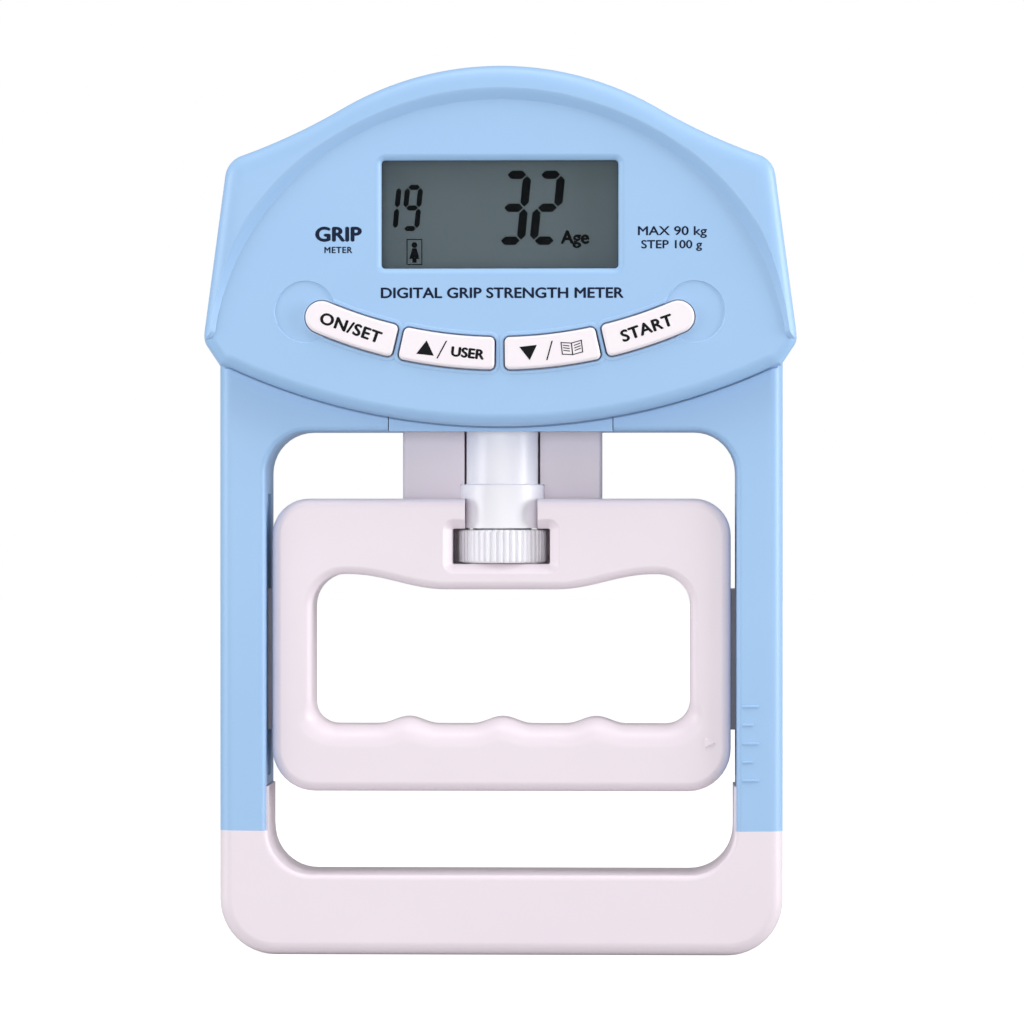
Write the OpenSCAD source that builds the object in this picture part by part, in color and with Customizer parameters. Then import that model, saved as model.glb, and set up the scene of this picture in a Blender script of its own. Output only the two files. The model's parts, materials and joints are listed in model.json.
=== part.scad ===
// Hand dynamometer: a digital grip-strength meter.
// +Z is up, the display faces -Y, and the origin is at the middle of the base.

/* [Frame] */
// Width over the two legs
body_w = 122; // [116:1:150]
// How far the console's rim stands out in front of the legs
console_step = 7.5; // [7.5:0.5:12]
// Width of one leg, seen from the front
leg_w = 10; // [9:0.5:12]
// Height of the opening between the lower handle and the head
window_h = 96; // [94:1:120]
// Corner radius at the top of the opening
window_r = 9; // [6:0.5:12]
// Wall of the moulded shells
wall = 2; // [1.6:0.1:2.4]

/* [Lower handle] */
// Height of the bar that the palm rests on
bar_h = 17.5; // [15:0.5:24]
// Height of the handle's arms above the bar, up to the seam with the legs
arm_h = 9.5; // [8:0.5:14]
// How far the handle's spigots go up into the legs
spigot_h = 9.5; // [8:0.5:11]
// Radius of the two outer corners at the base
base_r = 12; // [8:0.5:16]
// Radius of the two inner corners above the bar
palm_r = 9.5; // [6:0.5:12]

/* [Head] */
// Height of the console, from its lower edge to the crown
head_h = 77.5; // [76:0.5:90]
// How far the head stands out past a leg
head_flare = 3.1; // [2:0.1:6]
// Radius of the crown
crown_r = 67.6; // [64:0.1:72]
// Half angle that the crown takes up
crown_angle = 30.2; // [27:0.1:32]
// Radius of the hollow sweep between crown and shoulder
sweep_r = 130; // [110:1:160]
// Slope of the sweep where it reaches the shoulder
shoulder_angle = 20; // [18:0.5:24]
// Radius of the shoulder
shoulder_r = 5; // [3:0.5:6]
// Lean of the head's sides
side_lean = 7.6; // [5:0.1:9]
// Radius of the console's lower edge
smile_r = 140; // [130:1:160]
// Lip of the legs' crossbar that shows below the console
crossbar_lip = 1; // [0.5:0.1:3]
// Depth of the sunk console face below its rim
rim_step = 1.6; // [1:0.1:2]
// Radius of the rim's inner edge
dish_r = 57; // [54:0.5:58]

/* [Display] */
// Width of the display's opening
view_w = 51; // [44:0.5:54]
// Height of the display's opening
view_h = 23.3; // [18:0.1:24]
// Height of the opening's lower edge above the console's lower edge
view_up = 33.9; // [33:0.1:36]

/* [Buttons] */
// Height of a button
key_h = 7; // [6:0.1:8.4]
// Radius of the curve that the buttons follow
key_curve_r = 98; // [90:1:110]
// Height of that curve's lowest point above the console's lower edge
key_up = 15.6; // [15.4:0.1:17]
// Length of a button along the curve
key_l = 20.2; // [16:0.1:20.6]
// Gap between the two middle buttons
key_mid_gap = 2.2; // [1.8:0.1:3]
// Gap between a middle and an outer button
key_side_gap = 1.4; // [1.3:0.1:2]
// Travel of a button
key_travel = 0.5; // [0.3:0.05:0.55]
// Clearance around a button
key_fit = 0.35; // [0.3:0.05:0.4]

/* [Grip] */
// Height of the sliding grip
grip_h = 63.5; // [60:0.5:66]
// How far the grip stands out past the column, in front and behind
grip_cheek = 1.4; // [1.4:0.1:3]
// Gap between the lower handle's bar and the grip
palm_gap = 17.9; // [16:0.1:24]
// Gap between the grip and a leg
side_gap = 1.2; // [1:0.1:2]
// Width of the grip's side bars
side_bar_w = 8.7; // [8.4:0.1:11]
// Height of the finger bar
finger_bar_h = 14.3; // [13:0.1:16]
// Height of the grip's top bar
top_bar_h = 16.4; // [16:0.1:19]
// How far the top bar bulges down in the middle
top_bulge = 3.3; // [2.5:0.1:4]
// Height of the ridges between the finger grooves
ridge_h = 1.6; // [0.8:0.1:2.4]
// Distance between the ridges
ridge_pitch = 20.5; // [19:0.5:23]
// Length of the guide rails on the grip's sides
rail_h = 30.7; // [20:0.1:34]
// Travel of the grip, up and down, from its middle setting
span_travel = 8; // [4:0.5:8]

/* [Column and wheel] */
// Diameter of the column that carries the grip
column_d = 15.6; // [15:0.1:19]
// Diameter of the adjusting wheel
wheel_d = 19.2; // [18.6:0.1:23]
// Height of the adjusting wheel
wheel_h = 7.3; // [6:0.1:8]
// Number of ribs around the wheel
wheel_ribs = 44; // [24:2:60]
// Diameter of the pull screw
screw_d = 8; // [6:0.1:10]
// Wall of the column
column_wall = 1.35; // [1.3:0.05:1.6]
// Radial running clearance of shafts
run_fit = 0.05; // [0.02:0.01:0.1]
// Clearance of what slides in the frame
slide_fit = 0.35; // [0.3:0.05:0.5]

/* [Load cell] */
// Length of the load cell's beam
beam_l = 74; // [72:1:88]
// Width of the beam, front to back
beam_w = 12; // [10:0.5:12]
// Height of the beam
beam_h = 6; // [5:0.5:7]

/* [Battery] */
// Diameter of a cell
cell_d = 10.5; // [8.7:0.1:10.6]
// Length of a cell
cell_l = 44.5; // [40:0.1:46]

/* [Hidden] */

blue = "#A5C8EC";
white = "#EDE2E9";
pale = "#E8E6EE";
grey = "#8A8794";
steel = "#B9BCC2";
brass = "#C9A552";
tiny = 0.01;
far = 200;

// Frame, in the plan seen from the front
leg_out = body_w / 2;
leg_in = leg_out - leg_w;
grip_d = column_d + 2 * grip_cheek;
frame_d = grip_d + 2 * wall + 1.1;
depth = frame_d + console_step;
back_y = depth / 2;
front_y = -depth / 2;
leg_front = back_y - frame_d;
mid_y = (leg_front + back_y) / 2;
window_top = bar_h + window_h;
low_z = window_top + crossbar_lip;
top_z = low_z + head_h;
seam_z = bar_h + arm_h;
spigot_z = seam_z + spigot_h;
palm_x = leg_in - 0.5;
rib_places = [-1, -0.35, 0.35, 1];

// Head outline
head_half = leg_out + head_flare;
smile_half = leg_out - 2.7;
smile_angle = asin(smile_half / smile_r);
smile_z = low_z + smile_r * (1 - cos(smile_angle));
foot_z = smile_z + 0.4;
cheek_z = foot_z + 5.2;
crown_z = top_z - crown_r;
sweep_x = (crown_r + sweep_r) * sin(crown_angle);
sweep_z = crown_z + (crown_r + sweep_r) * cos(crown_angle);
sweep_end_x = sweep_x - sweep_r * sin(shoulder_angle);
sweep_end_z = sweep_z - sweep_r * cos(shoulder_angle);
lean = tan(side_lean);
fall = tan(shoulder_angle);
shoulder_z = (sweep_end_z - (head_half + cheek_z * lean - sweep_end_x) * fall) / (1 - lean * fall);
shoulder_x = head_half - (shoulder_z - cheek_z) * lean;
head_wall = wall + 0.2;
frame_top = foot_z - 1;
dish_z = low_z + 13;
dish_angle = 18.7;
face_y = front_y + rim_step;
inner_y = face_y + wall;

// Legs and the grooves that the guide rails run in
groove_half = 3.5;
groove_x = leg_in + 4;
groove_z0 = spigot_z + 0.5;
groove_z1 = window_top - window_r - 3;
liner = 1.5;
tick_pitch = 4;
tick_z = 46;
tick_x = leg_in + 1.2;
tick_l = 3.6;
tick_short = 2.4;
tick_w = 0.5;
emboss = 0.3;

// Grip
grip_z0 = bar_h + palm_gap;
grip_z1 = grip_z0 + grip_h;
grip_half = leg_in - side_gap;
grip_front = mid_y - grip_d / 2;
grip_back = mid_y + grip_d / 2;
grip_r_low = 9.3;
grip_r_top = 8;
hole_half = grip_half - side_bar_w;
hole_z0 = grip_z0 + finger_bar_h;
hole_z1 = grip_z1 - top_bar_h;
hole_r_low = 5.3;
hole_r_top = 7;
bulge_flat = 12;
bulge_end = 33;
ridge_half = 6.5;
rail_z0 = grip_z0 + 13.2;
rail_half = groove_half - 0.5;
rail_tip = groove_x - 0.6;
tongue_half = 21.8;
tongue_y = mid_y + 0.4;
tongue_top = low_z + 15.9;
bridge_half = tongue_half + 2.4;
bridge_top = window_top + 5.5;

// Column, wheel and screw
column_r = column_d / 2;
trough_half = column_r + grip_cheek;
wheel_r = wheel_d / 2;
stem_r = column_r - column_wall - run_fit;
screw_r = screw_d / 2;
play = 0.2;
ceiling_h = 6.5;
pocket_z1 = grip_z1 - ceiling_h;
pocket_z0 = pocket_z1 - wheel_h - 2 * play;
pocket_half = wheel_r + 1;
thumb_half = wheel_r - 2;
washer_h = 0.5;
washer_r = stem_r + 2.2;
column_z0 = pocket_z1 + washer_h + 0.1;
collar_r = column_r + grip_cheek;
collar_h = 3.1;
stem_top = tongue_top - 5.5;
bush_r = stem_r - 0.9;
bush_l = 26;
wheel_floor = 1.6;
rib_depth = 0.45;
screw_z0 = pocket_z0 + play + wheel_floor + span_travel + 0.6;

// Load cell
beam_z = low_z + 29.5;
beam_hole_x = beam_l / 2 - 4;
beam_screw_r = 2;
beam_screw_l = 7.5;
pull_washer_h = 0.8;
nut_h = 6;
nut_r = screw_r + 3.4;
screw_z1 = beam_z + beam_h + pull_washer_h + nut_h + 1;

// Board and display
board_t = 1.6;
board_back = front_y + 9.5;
board_front = board_back - board_t;
board_half = leg_out - 15;
board_z0 = frame_top + 0.7;
board_z1 = top_z - 14;
boss_x = leg_out - 11;
view_z = low_z + view_up;
lens_t = 1;
lens_lip = 1.5;
lcd_edge = 2;
lcd_y0 = inner_y + lens_t + 0.2;
lcd_t = 2.3;
holder_wall = 2;
post_x = board_half - 3.5;

// Buttons
key_z = low_z + key_up + key_curve_r;
key_top_y = face_y - 1;
key_rim = 1.1;
key_flange = 0.8;
key_back = inner_y + 0.2 + key_flange;
switch_side = 6;
switch_y = board_front - 2;
plunger_r = 1.6;
plunger_back = switch_y + 0.7;

// Battery bay
cell_r = cell_d / 2;
cell_pitch = cell_d + 0.5;
bay_wall = 1.5;
bay_half_x = cell_l / 2 + 2.95;
bay_z0 = screw_z1 + 2.2;
bay_h = 2 * cell_d + 1;
cell_z = bay_z0 + cell_r + 0.25;
cell_y = back_y - 7.6;
bay_y = cell_y - cell_r - 0.35;
plate_t = 0.5;
spring_l = 2 * bay_half_x - 2 * plate_t - cell_l;
nub_l = 1;
door_t = 1.8;
door_half = bay_half_x + 2.6;
door_z0 = bay_z0 - 2.6;
door_z1 = bay_z0 + bay_h + 0.9;
door_r = 4;
door_fit = 0.3;
tab_y = bay_y + 2;

// Screws
case_screw_spots = [
    [boss_x, low_z + 22.5], [boss_x, low_z + 48.5], [leg_in - 11, low_z + 5.5],
    [-boss_x, low_z + 22.5], [-boss_x, low_z + 48.5], [-(leg_in - 11), low_z + 5.5]
];
handle_screw_spots = [
    [leg_out - 5.2, seam_z + 4.7], [-(leg_out - 5.2), seam_z + 4.7],
    [leg_in - 21, bar_h / 2], [-(leg_in - 21), bar_h / 2]
];
grip_screw_spots = [
    [hole_half - 5, grip_z1 - 7.5], [-(hole_half - 5), grip_z1 - 7.5],
    [hole_half - 5, grip_z0 + 7], [-(hole_half - 5), grip_z0 + 7]
];
board_screw_spots = [
    [post_x, board_z0 + 4.5], [post_x, board_z0 + 34],
    [-post_x, board_z0 + 4.5], [-post_x, board_z0 + 34]
];
case_head_r = 2.9;
case_shank_r = 1.5;
case_seat_y = back_y - 7.5;
case_shank_l = 14;
small_head_r = 2.3;
small_head_h = 1.6;
small_shank_r = 1.2;
boss_r = 3.3;
sleeve_r = 4.7;

// Geometry helpers

function unit(v) = v / norm(v);
function turn(a) = a - 360 * round(a / 360);
function spin(r, a) = [r * cos(a), r * sin(a)];
function arc(c, r, a0, a1, n) = [for (i = [0:n]) c + spin(r, a0 + (a1 - a0) * i / n)];
function flip(p) = [for (i = [len(p) - 1:-1:0]) [-p[i].x, p[i].y]];

// Arc of radius r in the corner b between a and c
function corner(a, b, c, r, n) =
    let (
        u = unit(a - b),
        v = unit(c - b),
        h = acos(u * v) / 2,
        m = b + unit(u + v) * r / sin(h),
        p = b + u * r / tan(h) - m,
        q = b + v * r / tan(h) - m,
        s = atan2(p.y, p.x),
        e = turn(atan2(q.y, q.x) - s)
    )
    r <= 0 ? [b] : [for (i = [0:n]) m + spin(r, s + e * i / n)];

// Outline through [x, z, corner radius] points
function rounded(p, n = 6) =
    let (m = len(p))
    [for (i = [0:m - 1]) each corner(
        [p[(i + m - 1) % m].x, p[(i + m - 1) % m].y],
        [p[i].x, p[i].y],
        [p[(i + 1) % m].x, p[(i + 1) % m].y],
        p[i][2],
        n
    )];

// Anticlockwise outline moved inwards by d, or outwards where d is negative
function shrink(p, d) =
    let (m = len(p))
    [for (i = [0:m - 1])
        let (
            u = unit(p[i] - p[(i + m - 1) % m]),
            v = unit(p[(i + 1) % m] - p[i]),
            nu = [u.y, -u.x],
            nv = [v.y, -v.x]
        )
        p[i] - d * (nu + nv) / (1 + nu * nv)
    ];

// Plan in X and Z, given a thickness from y0 to y1
module slab(y0, y1) {
    translate([0, y1, 0]) rotate([90, 0, 0]) linear_extrude(y1 - y0) children();
}

module box(x0, x1, y0, y1, z0, z1) {
    translate([x0, y0, z0]) cube([x1 - x0, y1 - y0, z1 - z0]);
}

module rod_y(x, z, y0, y1, r) {
    translate([x, y0, z]) rotate([-90, 0, 0]) cylinder(h = y1 - y0, r = r, $fn = 48);
}

module rod_z(z0, z1, r) {
    translate([0, mid_y, z0]) cylinder(h = z1 - z0, r = r, $fn = 64);
}

module at_both_sides() {
    children();
    mirror([1, 0, 0]) children();
}

// Cross-head screw that goes in along -Y, with the underside of its head at y
module screw(x, z, y, head_r, head_h, shank_r, shank_l) {
    slot = head_r * 0.22;
    difference() {
        union() {
            rod_y(x, z, y, y + head_h, head_r);
            rod_y(x, z, y - shank_l, y + tiny, shank_r);
        }
        box(x - slot, x + slot, y + head_h * 0.45, y + head_h + 1, z - head_r * 0.7, z + head_r * 0.7);
        box(x - head_r * 0.7, x + head_r * 0.7, y + head_h * 0.45, y + head_h + 1, z - slot, z + slot);
    }
}

// Closed tube of radius r along a list of points, its ends capped
module tube(points, r, sides) {
    m = len(points);
    rings = [for (i = [0:m - 1])
        let (
            d = unit(points[min(i + 1, m - 1)] - points[max(i - 1, 0)]),
            s = unit(cross(d, [0.02, 0.05, 1])),
            t = cross(d, s)
        )
        each [
            for (k = [0:sides - 1])
                points[i] + r * (cos(360 * k / sides) * s + sin(360 * k / sides) * t)
        ]
    ];
    sheet = [for (i = [0:m - 2]) for (k = [0:sides - 1])
        [
            i * sides + k, i * sides + (k + 1) % sides,
            (i + 1) * sides + (k + 1) % sides, (i + 1) * sides + k
        ]
    ];
    low_cap = [for (k = [sides - 1:-1:0]) k];
    high_cap = [for (k = [0:sides - 1]) (m - 1) * sides + k];
    polyhedron(rings, concat([low_cap], sheet, [high_cap]), convexity = 10);
}

// Outlines

function crown_arc() = arc([0, crown_z], crown_r, 90 - crown_angle, 90, 10);

function head_side() = concat(
    arc([0, low_z + smile_r], smile_r, -90, -90 + smile_angle, 9),
    [[smile_half + 2.2, foot_z]],
    corner([smile_half + 2.2, foot_z], [head_half, cheek_z], [shoulder_x, shoulder_z], 3, 3),
    corner([head_half, cheek_z], [shoulder_x, shoulder_z], [sweep_end_x, sweep_end_z], shoulder_r, 5),
    arc([sweep_x, sweep_z], sweep_r, 270 - shoulder_angle, 270 - crown_angle, 4),
    [for (p = crown_arc()) if (p.y > crown_z && p.x < crown_r * sin(crown_angle) - tiny) p]
);

// The first and the last point lie on the middle line, so the mirrored half leaves them out
function head() =
    let (s = head_side(), n = len(s), f = flip(s))
    concat(s, [for (i = [1:n - 2]) f[i]]);

function dish() =
    let (
        e = dish_r * cos(dish_angle),
        ez = dish_z + dish_r * sin(dish_angle),
        out = head_half + 5,
        s = (ez - cheek_z - 1) / (head_half - 2 - e)
    )
    concat(
        [[out, low_z - 5], [out, ez - (out - e) * s]],
        arc([0, dish_z], dish_r, dish_angle, 180 - dish_angle, 24),
        [[-out, ez - (out - e) * s], [-out, low_z - 5]]
    );

// Legs and crossbar, as an upside-down U
function legs(lo, li, z0, zw, z1, r) = rounded([
    [-lo, z0, 0], [-li, z0, 0], [-li, zw, r], [li, zw, r],
    [li, z0, 0], [lo, z0, 0], [lo, z1, 0], [-lo, z1, 0]
]);

// Lower handle, as an upright U
function cradle(lo, li, z0, zb, z1, ro, ri) = rounded([
    [-lo, z1, 0], [-lo, z0, ro], [lo, z0, ro], [lo, z1, 0],
    [li, z1, 0], [li, zb, ri], [-li, zb, ri], [-li, z1, 0]
], 8);

function grip_plan() = rounded([
    [-grip_half, grip_z0, grip_r_low], [grip_half, grip_z0, grip_r_low],
    [grip_half, grip_z1, grip_r_top], [-grip_half, grip_z1, grip_r_top]
], 7);

function hump(x, half) = abs(x) < half ? (1 + cos(180 * x / half)) / 2 : 0;
function finger_z(x) = hole_z0 + ridge_h * max([for (k = [-1:1]) hump(x - k * ridge_pitch, ridge_half)]);
function ease(t) = (1 - cos(180 * min(max(t, 0), 1))) / 2;
function bulge_z(x) = hole_z1 - top_bulge * (1 - ease((abs(x) - bulge_flat) / (bulge_end - bulge_flat)));

function grip_hole() =
    let (
        a = hole_half - hole_r_low,
        b = hole_half - hole_r_top,
        n = 36,
        m = 20
    )
    concat(
        [for (i = [1:n - 1]) let (x = -a + 2 * a * i / n) [x, finger_z(x)]],
        arc([a, hole_z0 + hole_r_low], hole_r_low, -90, 0, 5),
        arc([b, hole_z1 - hole_r_top], hole_r_top, 0, 90, 6),
        [for (i = [1:m - 1]) let (x = b - 2 * b * i / m) [x, bulge_z(x)]],
        arc([-b, hole_z1 - hole_r_top], hole_r_top, 90, 180, 6),
        arc([-a, hole_z0 + hole_r_low], hole_r_low, 180, 270, 5)
    );

// Buttons: 0 and 3 are the outer ones, 1 and 2 the middle ones
function key_start(i) = (i == 1 || i == 2) ? key_mid_gap / 2 : key_mid_gap / 2 + key_l + key_side_gap;
function key_degrees(l) = l / key_curve_r * 180 / PI;
function key_side(i) = i < 2 ? -1 : 1;
function key_middle(i) =
    let (a = -90 + key_side(i) * key_degrees(key_start(i) + key_l / 2))
    [0, key_z] + spin(key_curve_r, a);

// Outline of button i on the right-hand side, made larger by g along its radius and by e along its length
function key_right(i, g, e) =
    let (
        r = key_h / 2 + g,
        a0 = -90 + key_degrees(key_start(i) - e),
        outer = i == 0 || i == 3,
        a1 = -90 + key_degrees(key_start(i) + key_l + (outer ? g - r : e)),
        m = [0, key_z] + spin(key_curve_r, a1)
    )
    concat(
        arc([0, key_z], key_curve_r + r, a0, a1, 6),
        outer ? arc(m, r, a1 + 22.5, a1 + 157.5, 5) : [],
        arc([0, key_z], key_curve_r - r, a1, a0, 6)
    );
function key_plan(i, g, e) = key_side(i) < 0 ? flip(key_right(i, g, e)) : key_right(i, g, e);

// Housing

module head_front_cover() color(blue) {
    difference() {
        union() {
            difference() {
                slab(front_y, mid_y) polygon(head());
                slab(inner_y, mid_y + 1) polygon(shrink(head(), head_wall));
            }
            for (s = case_screw_spots) {
                if (s.y > frame_top) rod_y(s.x, s.y, inner_y - tiny, mid_y, boss_r);
            }
            for (s = board_screw_spots) {
                rod_y(s.x, s.y, inner_y - tiny, board_front, boss_r - 0.5);
            }
        }
        slab(front_y - 1, face_y) polygon(dish());
        box(-far, far, leg_front, mid_y + 1, low_z - 5, frame_top);
        box(-view_w / 2, view_w / 2, front_y - 1, inner_y + 1, view_z, view_z + view_h);
        for (i = [0:3]) {
            slab(front_y - 1, inner_y + 1) polygon(key_plan(i, key_fit, key_fit));
        }
        for (s = case_screw_spots) {
            if (s.y > frame_top) rod_y(s.x, s.y, case_seat_y - case_shank_l, mid_y + 1, case_shank_r);
        }
        for (s = board_screw_spots) {
            rod_y(s.x, s.y, inner_y + 0.3, board_front + 1, small_shank_r);
        }
    }
}

// Outline of both legs and their crossbar, and of the hollow inside them
function leg_plan() = legs(leg_out, leg_in, seam_z, window_top, frame_top, window_r);
function leg_hollow() = legs(
    leg_out - wall, leg_in + wall, seam_z - 1,
    window_top + wall, frame_top - wall, window_r + wall
);

// Walls of the groove that a guide rail runs in, between y0 and y1
module groove_liner(y0, y1) {
    at_both_sides() box(leg_in, groove_x + liner, y0, y1, groove_z0, groove_z1);
}

module groove_cut() {
    at_both_sides() {
        box(
            leg_in - 1, groove_x, mid_y - groove_half, mid_y + groove_half,
            groove_z0 + liner, groove_z1 - liner
        );
    }
}

module spigot_room() {
    at_both_sides() {
        box(leg_in - 1, leg_in + wall + 1, leg_front + wall, back_y - wall, seam_z - 1, spigot_z + 0.1);
    }
}

module column_way(fit) {
    rod_z(low_z - 5, tongue_top + span_travel + 2, column_r + fit);
}

module frame_front_shell() color(blue) {
    difference() {
        union() {
            difference() {
                slab(leg_front, mid_y) polygon(leg_plan());
                slab(leg_front + wall, mid_y + 1) polygon(leg_hollow());
            }
            groove_liner(mid_y - groove_half - liner, mid_y);
            for (s = case_screw_spots) {
                if (s.y < frame_top) rod_y(s.x, s.y, leg_front + wall - tiny, mid_y, boss_r);
            }
        }
        groove_cut();
        spigot_room();
        column_way(slide_fit);
        box(
            -bridge_half - play, bridge_half + play, leg_front - 1, mid_y + 1,
            window_top - 1, bridge_top + play
        );
        for (s = case_screw_spots) {
            if (s.y < frame_top) rod_y(s.x, s.y, case_seat_y - case_shank_l, mid_y + 1, case_shank_r);
        }
    }
    for (i = [-2:2]) {
        l = i % 2 == 0 ? tick_l : tick_short;
        z = tick_z + i * tick_pitch;
        box(tick_x, tick_x + l, leg_front - emboss, leg_front, z - tick_w / 2, z + tick_w / 2);
    }
}

module bay_box(grow, y0, y1) {
    box(-bay_half_x - grow, bay_half_x + grow, y0, y1, bay_z0 - grow, bay_z0 + bay_h + grow);
}

function door_plan() = rounded([
    [-door_half, door_z0, door_r], [door_half, door_z0, door_r],
    [door_half, door_z1, door_r], [-door_half, door_z1, door_r]
], 5);

module frame_rear_shell() color(blue) {
    difference() {
        union() {
            difference() {
                slab(mid_y, back_y) {
                    polygon(head());
                    polygon(leg_plan());
                }
                slab(mid_y - 1, back_y - wall) {
                    polygon(shrink(head(), head_wall));
                    polygon(leg_hollow());
                }
            }
            groove_liner(mid_y, mid_y + groove_half + liner);
            box(-bridge_half, bridge_half, leg_front, back_y - wall, window_top, bridge_top);
            bay_box(bay_wall, bay_y - bay_wall, back_y - 1);
            for (s = case_screw_spots) rod_y(s.x, s.y, mid_y, back_y - 1, sleeve_r);
            at_both_sides() {
                box(beam_hole_x - 4, beam_hole_x + 4, mid_y - 3, back_y - 1, beam_z - 9, beam_z);
            }
        }
        groove_cut();
        spigot_room();
        column_way(slide_fit);
        box(
            -tongue_half - slide_fit, tongue_half + slide_fit, tongue_y - slide_fit, back_y - wall,
            window_top - 1, bridge_top + 1
        );
        bay_box(0, bay_y, back_y + 1);
        slab(back_y - wall, back_y + 1) polygon(shrink(door_plan(), -door_fit));
        for (z = [cell_z, cell_z + cell_pitch]) {
            box(
                bay_half_x - 1, bay_half_x + bay_wall + 1, tab_y - play, tab_y + plate_t + play,
                z - 1.7, z + 1.7
            );
        }
        for (s = case_screw_spots) {
            rod_y(s.x, s.y, case_seat_y, back_y + 1, case_head_r + 0.5);
            rod_y(s.x, s.y, mid_y - 1, case_seat_y + 1, case_shank_r + 0.2);
        }
        for (s = handle_screw_spots) {
            if (s.y > seam_z) rod_y(s.x, s.y, back_y - wall - 1, back_y + 1, case_head_r + 0.2);
        }
        at_both_sides() {
            translate([beam_hole_x, mid_y, beam_z - 8]) cylinder(h = 9, r = beam_screw_r, $fn = 48);
        }
    }
}

// One half of the lower handle: skin on the side of y_skin, open at the parting plane
module handle_half(y0, y1, c0, c1) {
    difference() {
        slab(y0, y1) polygon(cradle(leg_out, palm_x, 0, bar_h, seam_z, base_r, palm_r));
        slab(c0, c1) polygon(cradle(
            leg_out - wall, palm_x + wall, wall, bar_h - wall, seam_z - wall,
            base_r - wall, palm_r + wall
        ));
    }
    for (k = rib_places) {
        rib_x = k * (leg_in - 14);
        box(rib_x - 0.7, rib_x + 0.7, y0 + tiny, y1, wall - tiny, bar_h - wall + tiny);
    }
    at_both_sides() {
        box(
            palm_x, leg_out - wall - 0.1, max(y0, leg_front + wall), min(y1, back_y - wall),
            seam_z - tiny, spigot_z
        );
    }
}

module lower_handle_front() color(white) {
    difference() {
        union() {
            handle_half(leg_front, mid_y, leg_front + wall, mid_y + 1);
            for (s = handle_screw_spots) {
                if (s.y < seam_z) rod_y(s.x, s.y, leg_front + wall - tiny, mid_y, boss_r);
            }
        }
        for (s = handle_screw_spots) rod_y(s.x, s.y, leg_front + wall + 1, mid_y + 1, case_shank_r);
    }
}

module lower_handle_rear() color(white) {
    difference() {
        union() {
            handle_half(mid_y, back_y, mid_y - 1, back_y - wall);
            for (s = handle_screw_spots) {
                if (s.y < seam_z) rod_y(s.x, s.y, mid_y, back_y - 1, sleeve_r);
            }
        }
        for (s = handle_screw_spots) {
            rod_y(s.x, s.y, mid_y - 1, back_y, case_shank_r + 0.2);
            if (s.y < seam_z) rod_y(s.x, s.y, case_seat_y, back_y + 1, case_head_r + 0.5);
        }
    }
}

// Battery

module battery_door() color(blue) {
    finger_z = bay_z0 + bay_h - 3;
    finger_groove = 0.8;
    difference() {
        slab(back_y - door_t, back_y) polygon(door_plan());
        for (i = [0:3]) {
            z = finger_z - 2 * finger_groove * i;
            box(-7, 7, back_y - 0.5, back_y + 1, z - finger_groove, z);
        }
    }
    box(-5, 5, back_y - door_t - 1.6, back_y - door_t, bay_z0 + bay_h - 1.9, bay_z0 + bay_h - 0.7);
}

// Cell whose positive end points along side, +1 or -1
module cell(z, side) {
    x0 = side > 0 ? bay_half_x - plate_t - cell_l : -bay_half_x + plate_t + nub_l;
    translate([x0, cell_y, z]) rotate([0, 90, 0]) cylinder(h = cell_l - nub_l, r = cell_r, $fn = 64);
    nub_x = side > 0 ? x0 + cell_l - nub_l - tiny : x0 - nub_l;
    translate([nub_x, cell_y, z]) rotate([0, 90, 0]) cylinder(h = nub_l + tiny, r = 1.9, $fn = 32);
}

module battery_lower() color("#3D6B52") cell(cell_z, 1);
module battery_upper() color("#3D6B52") cell(cell_z + cell_pitch, -1);

module cell_spring() {
    turns = 4;
    steps = 12;
    wire = 0.35;
    tube([for (i = [0:turns * steps])
        let (t = i / (turns * steps), r = 3.8 - 1.4 * t)
        [wire + (spring_l - 2 * wire) * t, r * cos(360 * i / steps), r * sin(360 * i / steps)]
    ], wire, 6);
}

module battery_springs() color(steel) {
    translate([-bay_half_x + plate_t, cell_y, cell_z]) cell_spring();
    translate([bay_half_x - plate_t, cell_y, cell_z + cell_pitch]) mirror([1, 0, 0]) cell_spring();
}

module contact_plate(z0, z1) {
    box(bay_half_x - plate_t, bay_half_x, cell_y - 3.6, cell_y + 3.6, z0, z1);
}

module battery_contacts() color(steel) {
    mirror([1, 0, 0]) contact_plate(cell_z - 4, cell_z + cell_pitch + 4);
    for (z = [cell_z, cell_z + cell_pitch]) {
        contact_plate(z - 4, z + 4);
        box(bay_half_x - plate_t, bay_half_x + 3.4, tab_y, tab_y + plate_t, z - 1.5, z + 1.5);
    }
}

module battery_leads() color("#B5302C") {
    for (z = [cell_z, cell_z + cell_pitch]) {
        rod_y(bay_half_x + 2.6, z, board_back, tab_y, 0.6);
    }
}

// Display and electronics

module display_window() color([0.85, 0.9, 0.95, 0.4]) {
    w = view_w / 2 - 0.1;
    flange = view_w / 2 + lens_lip;
    box(-w, w, face_y + 1, inner_y + tiny, view_z + 0.1, view_z + view_h - 0.1);
    box(-flange, flange, inner_y, inner_y + lens_t, view_z - lens_lip, view_z + view_h + lens_lip);
}

module lcd_panel() color("#67767A") {
    box(
        -view_w / 2 - lcd_edge, view_w / 2 + lcd_edge, lcd_y0, lcd_y0 + lcd_t,
        view_z - lcd_edge, view_z + view_h + lcd_edge
    );
}

module lcd_holder() color("#E9E9E4") {
    w = view_w / 2 + lcd_edge;
    z0 = view_z - lcd_edge;
    z1 = view_z + view_h + lcd_edge;
    difference() {
        box(
            -w - holder_wall, w + holder_wall, inner_y + lens_t, board_front,
            z0 - holder_wall, z1 + holder_wall
        );
        box(-w, w, inner_y, board_front + 1, z0, z1);
    }
}

module lcd_connector_strip() color("#D98FA0") {
    box(-view_w / 2, view_w / 2, lcd_y0 + lcd_t, board_front, view_z - 1.5, view_z + 0.7);
}

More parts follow.
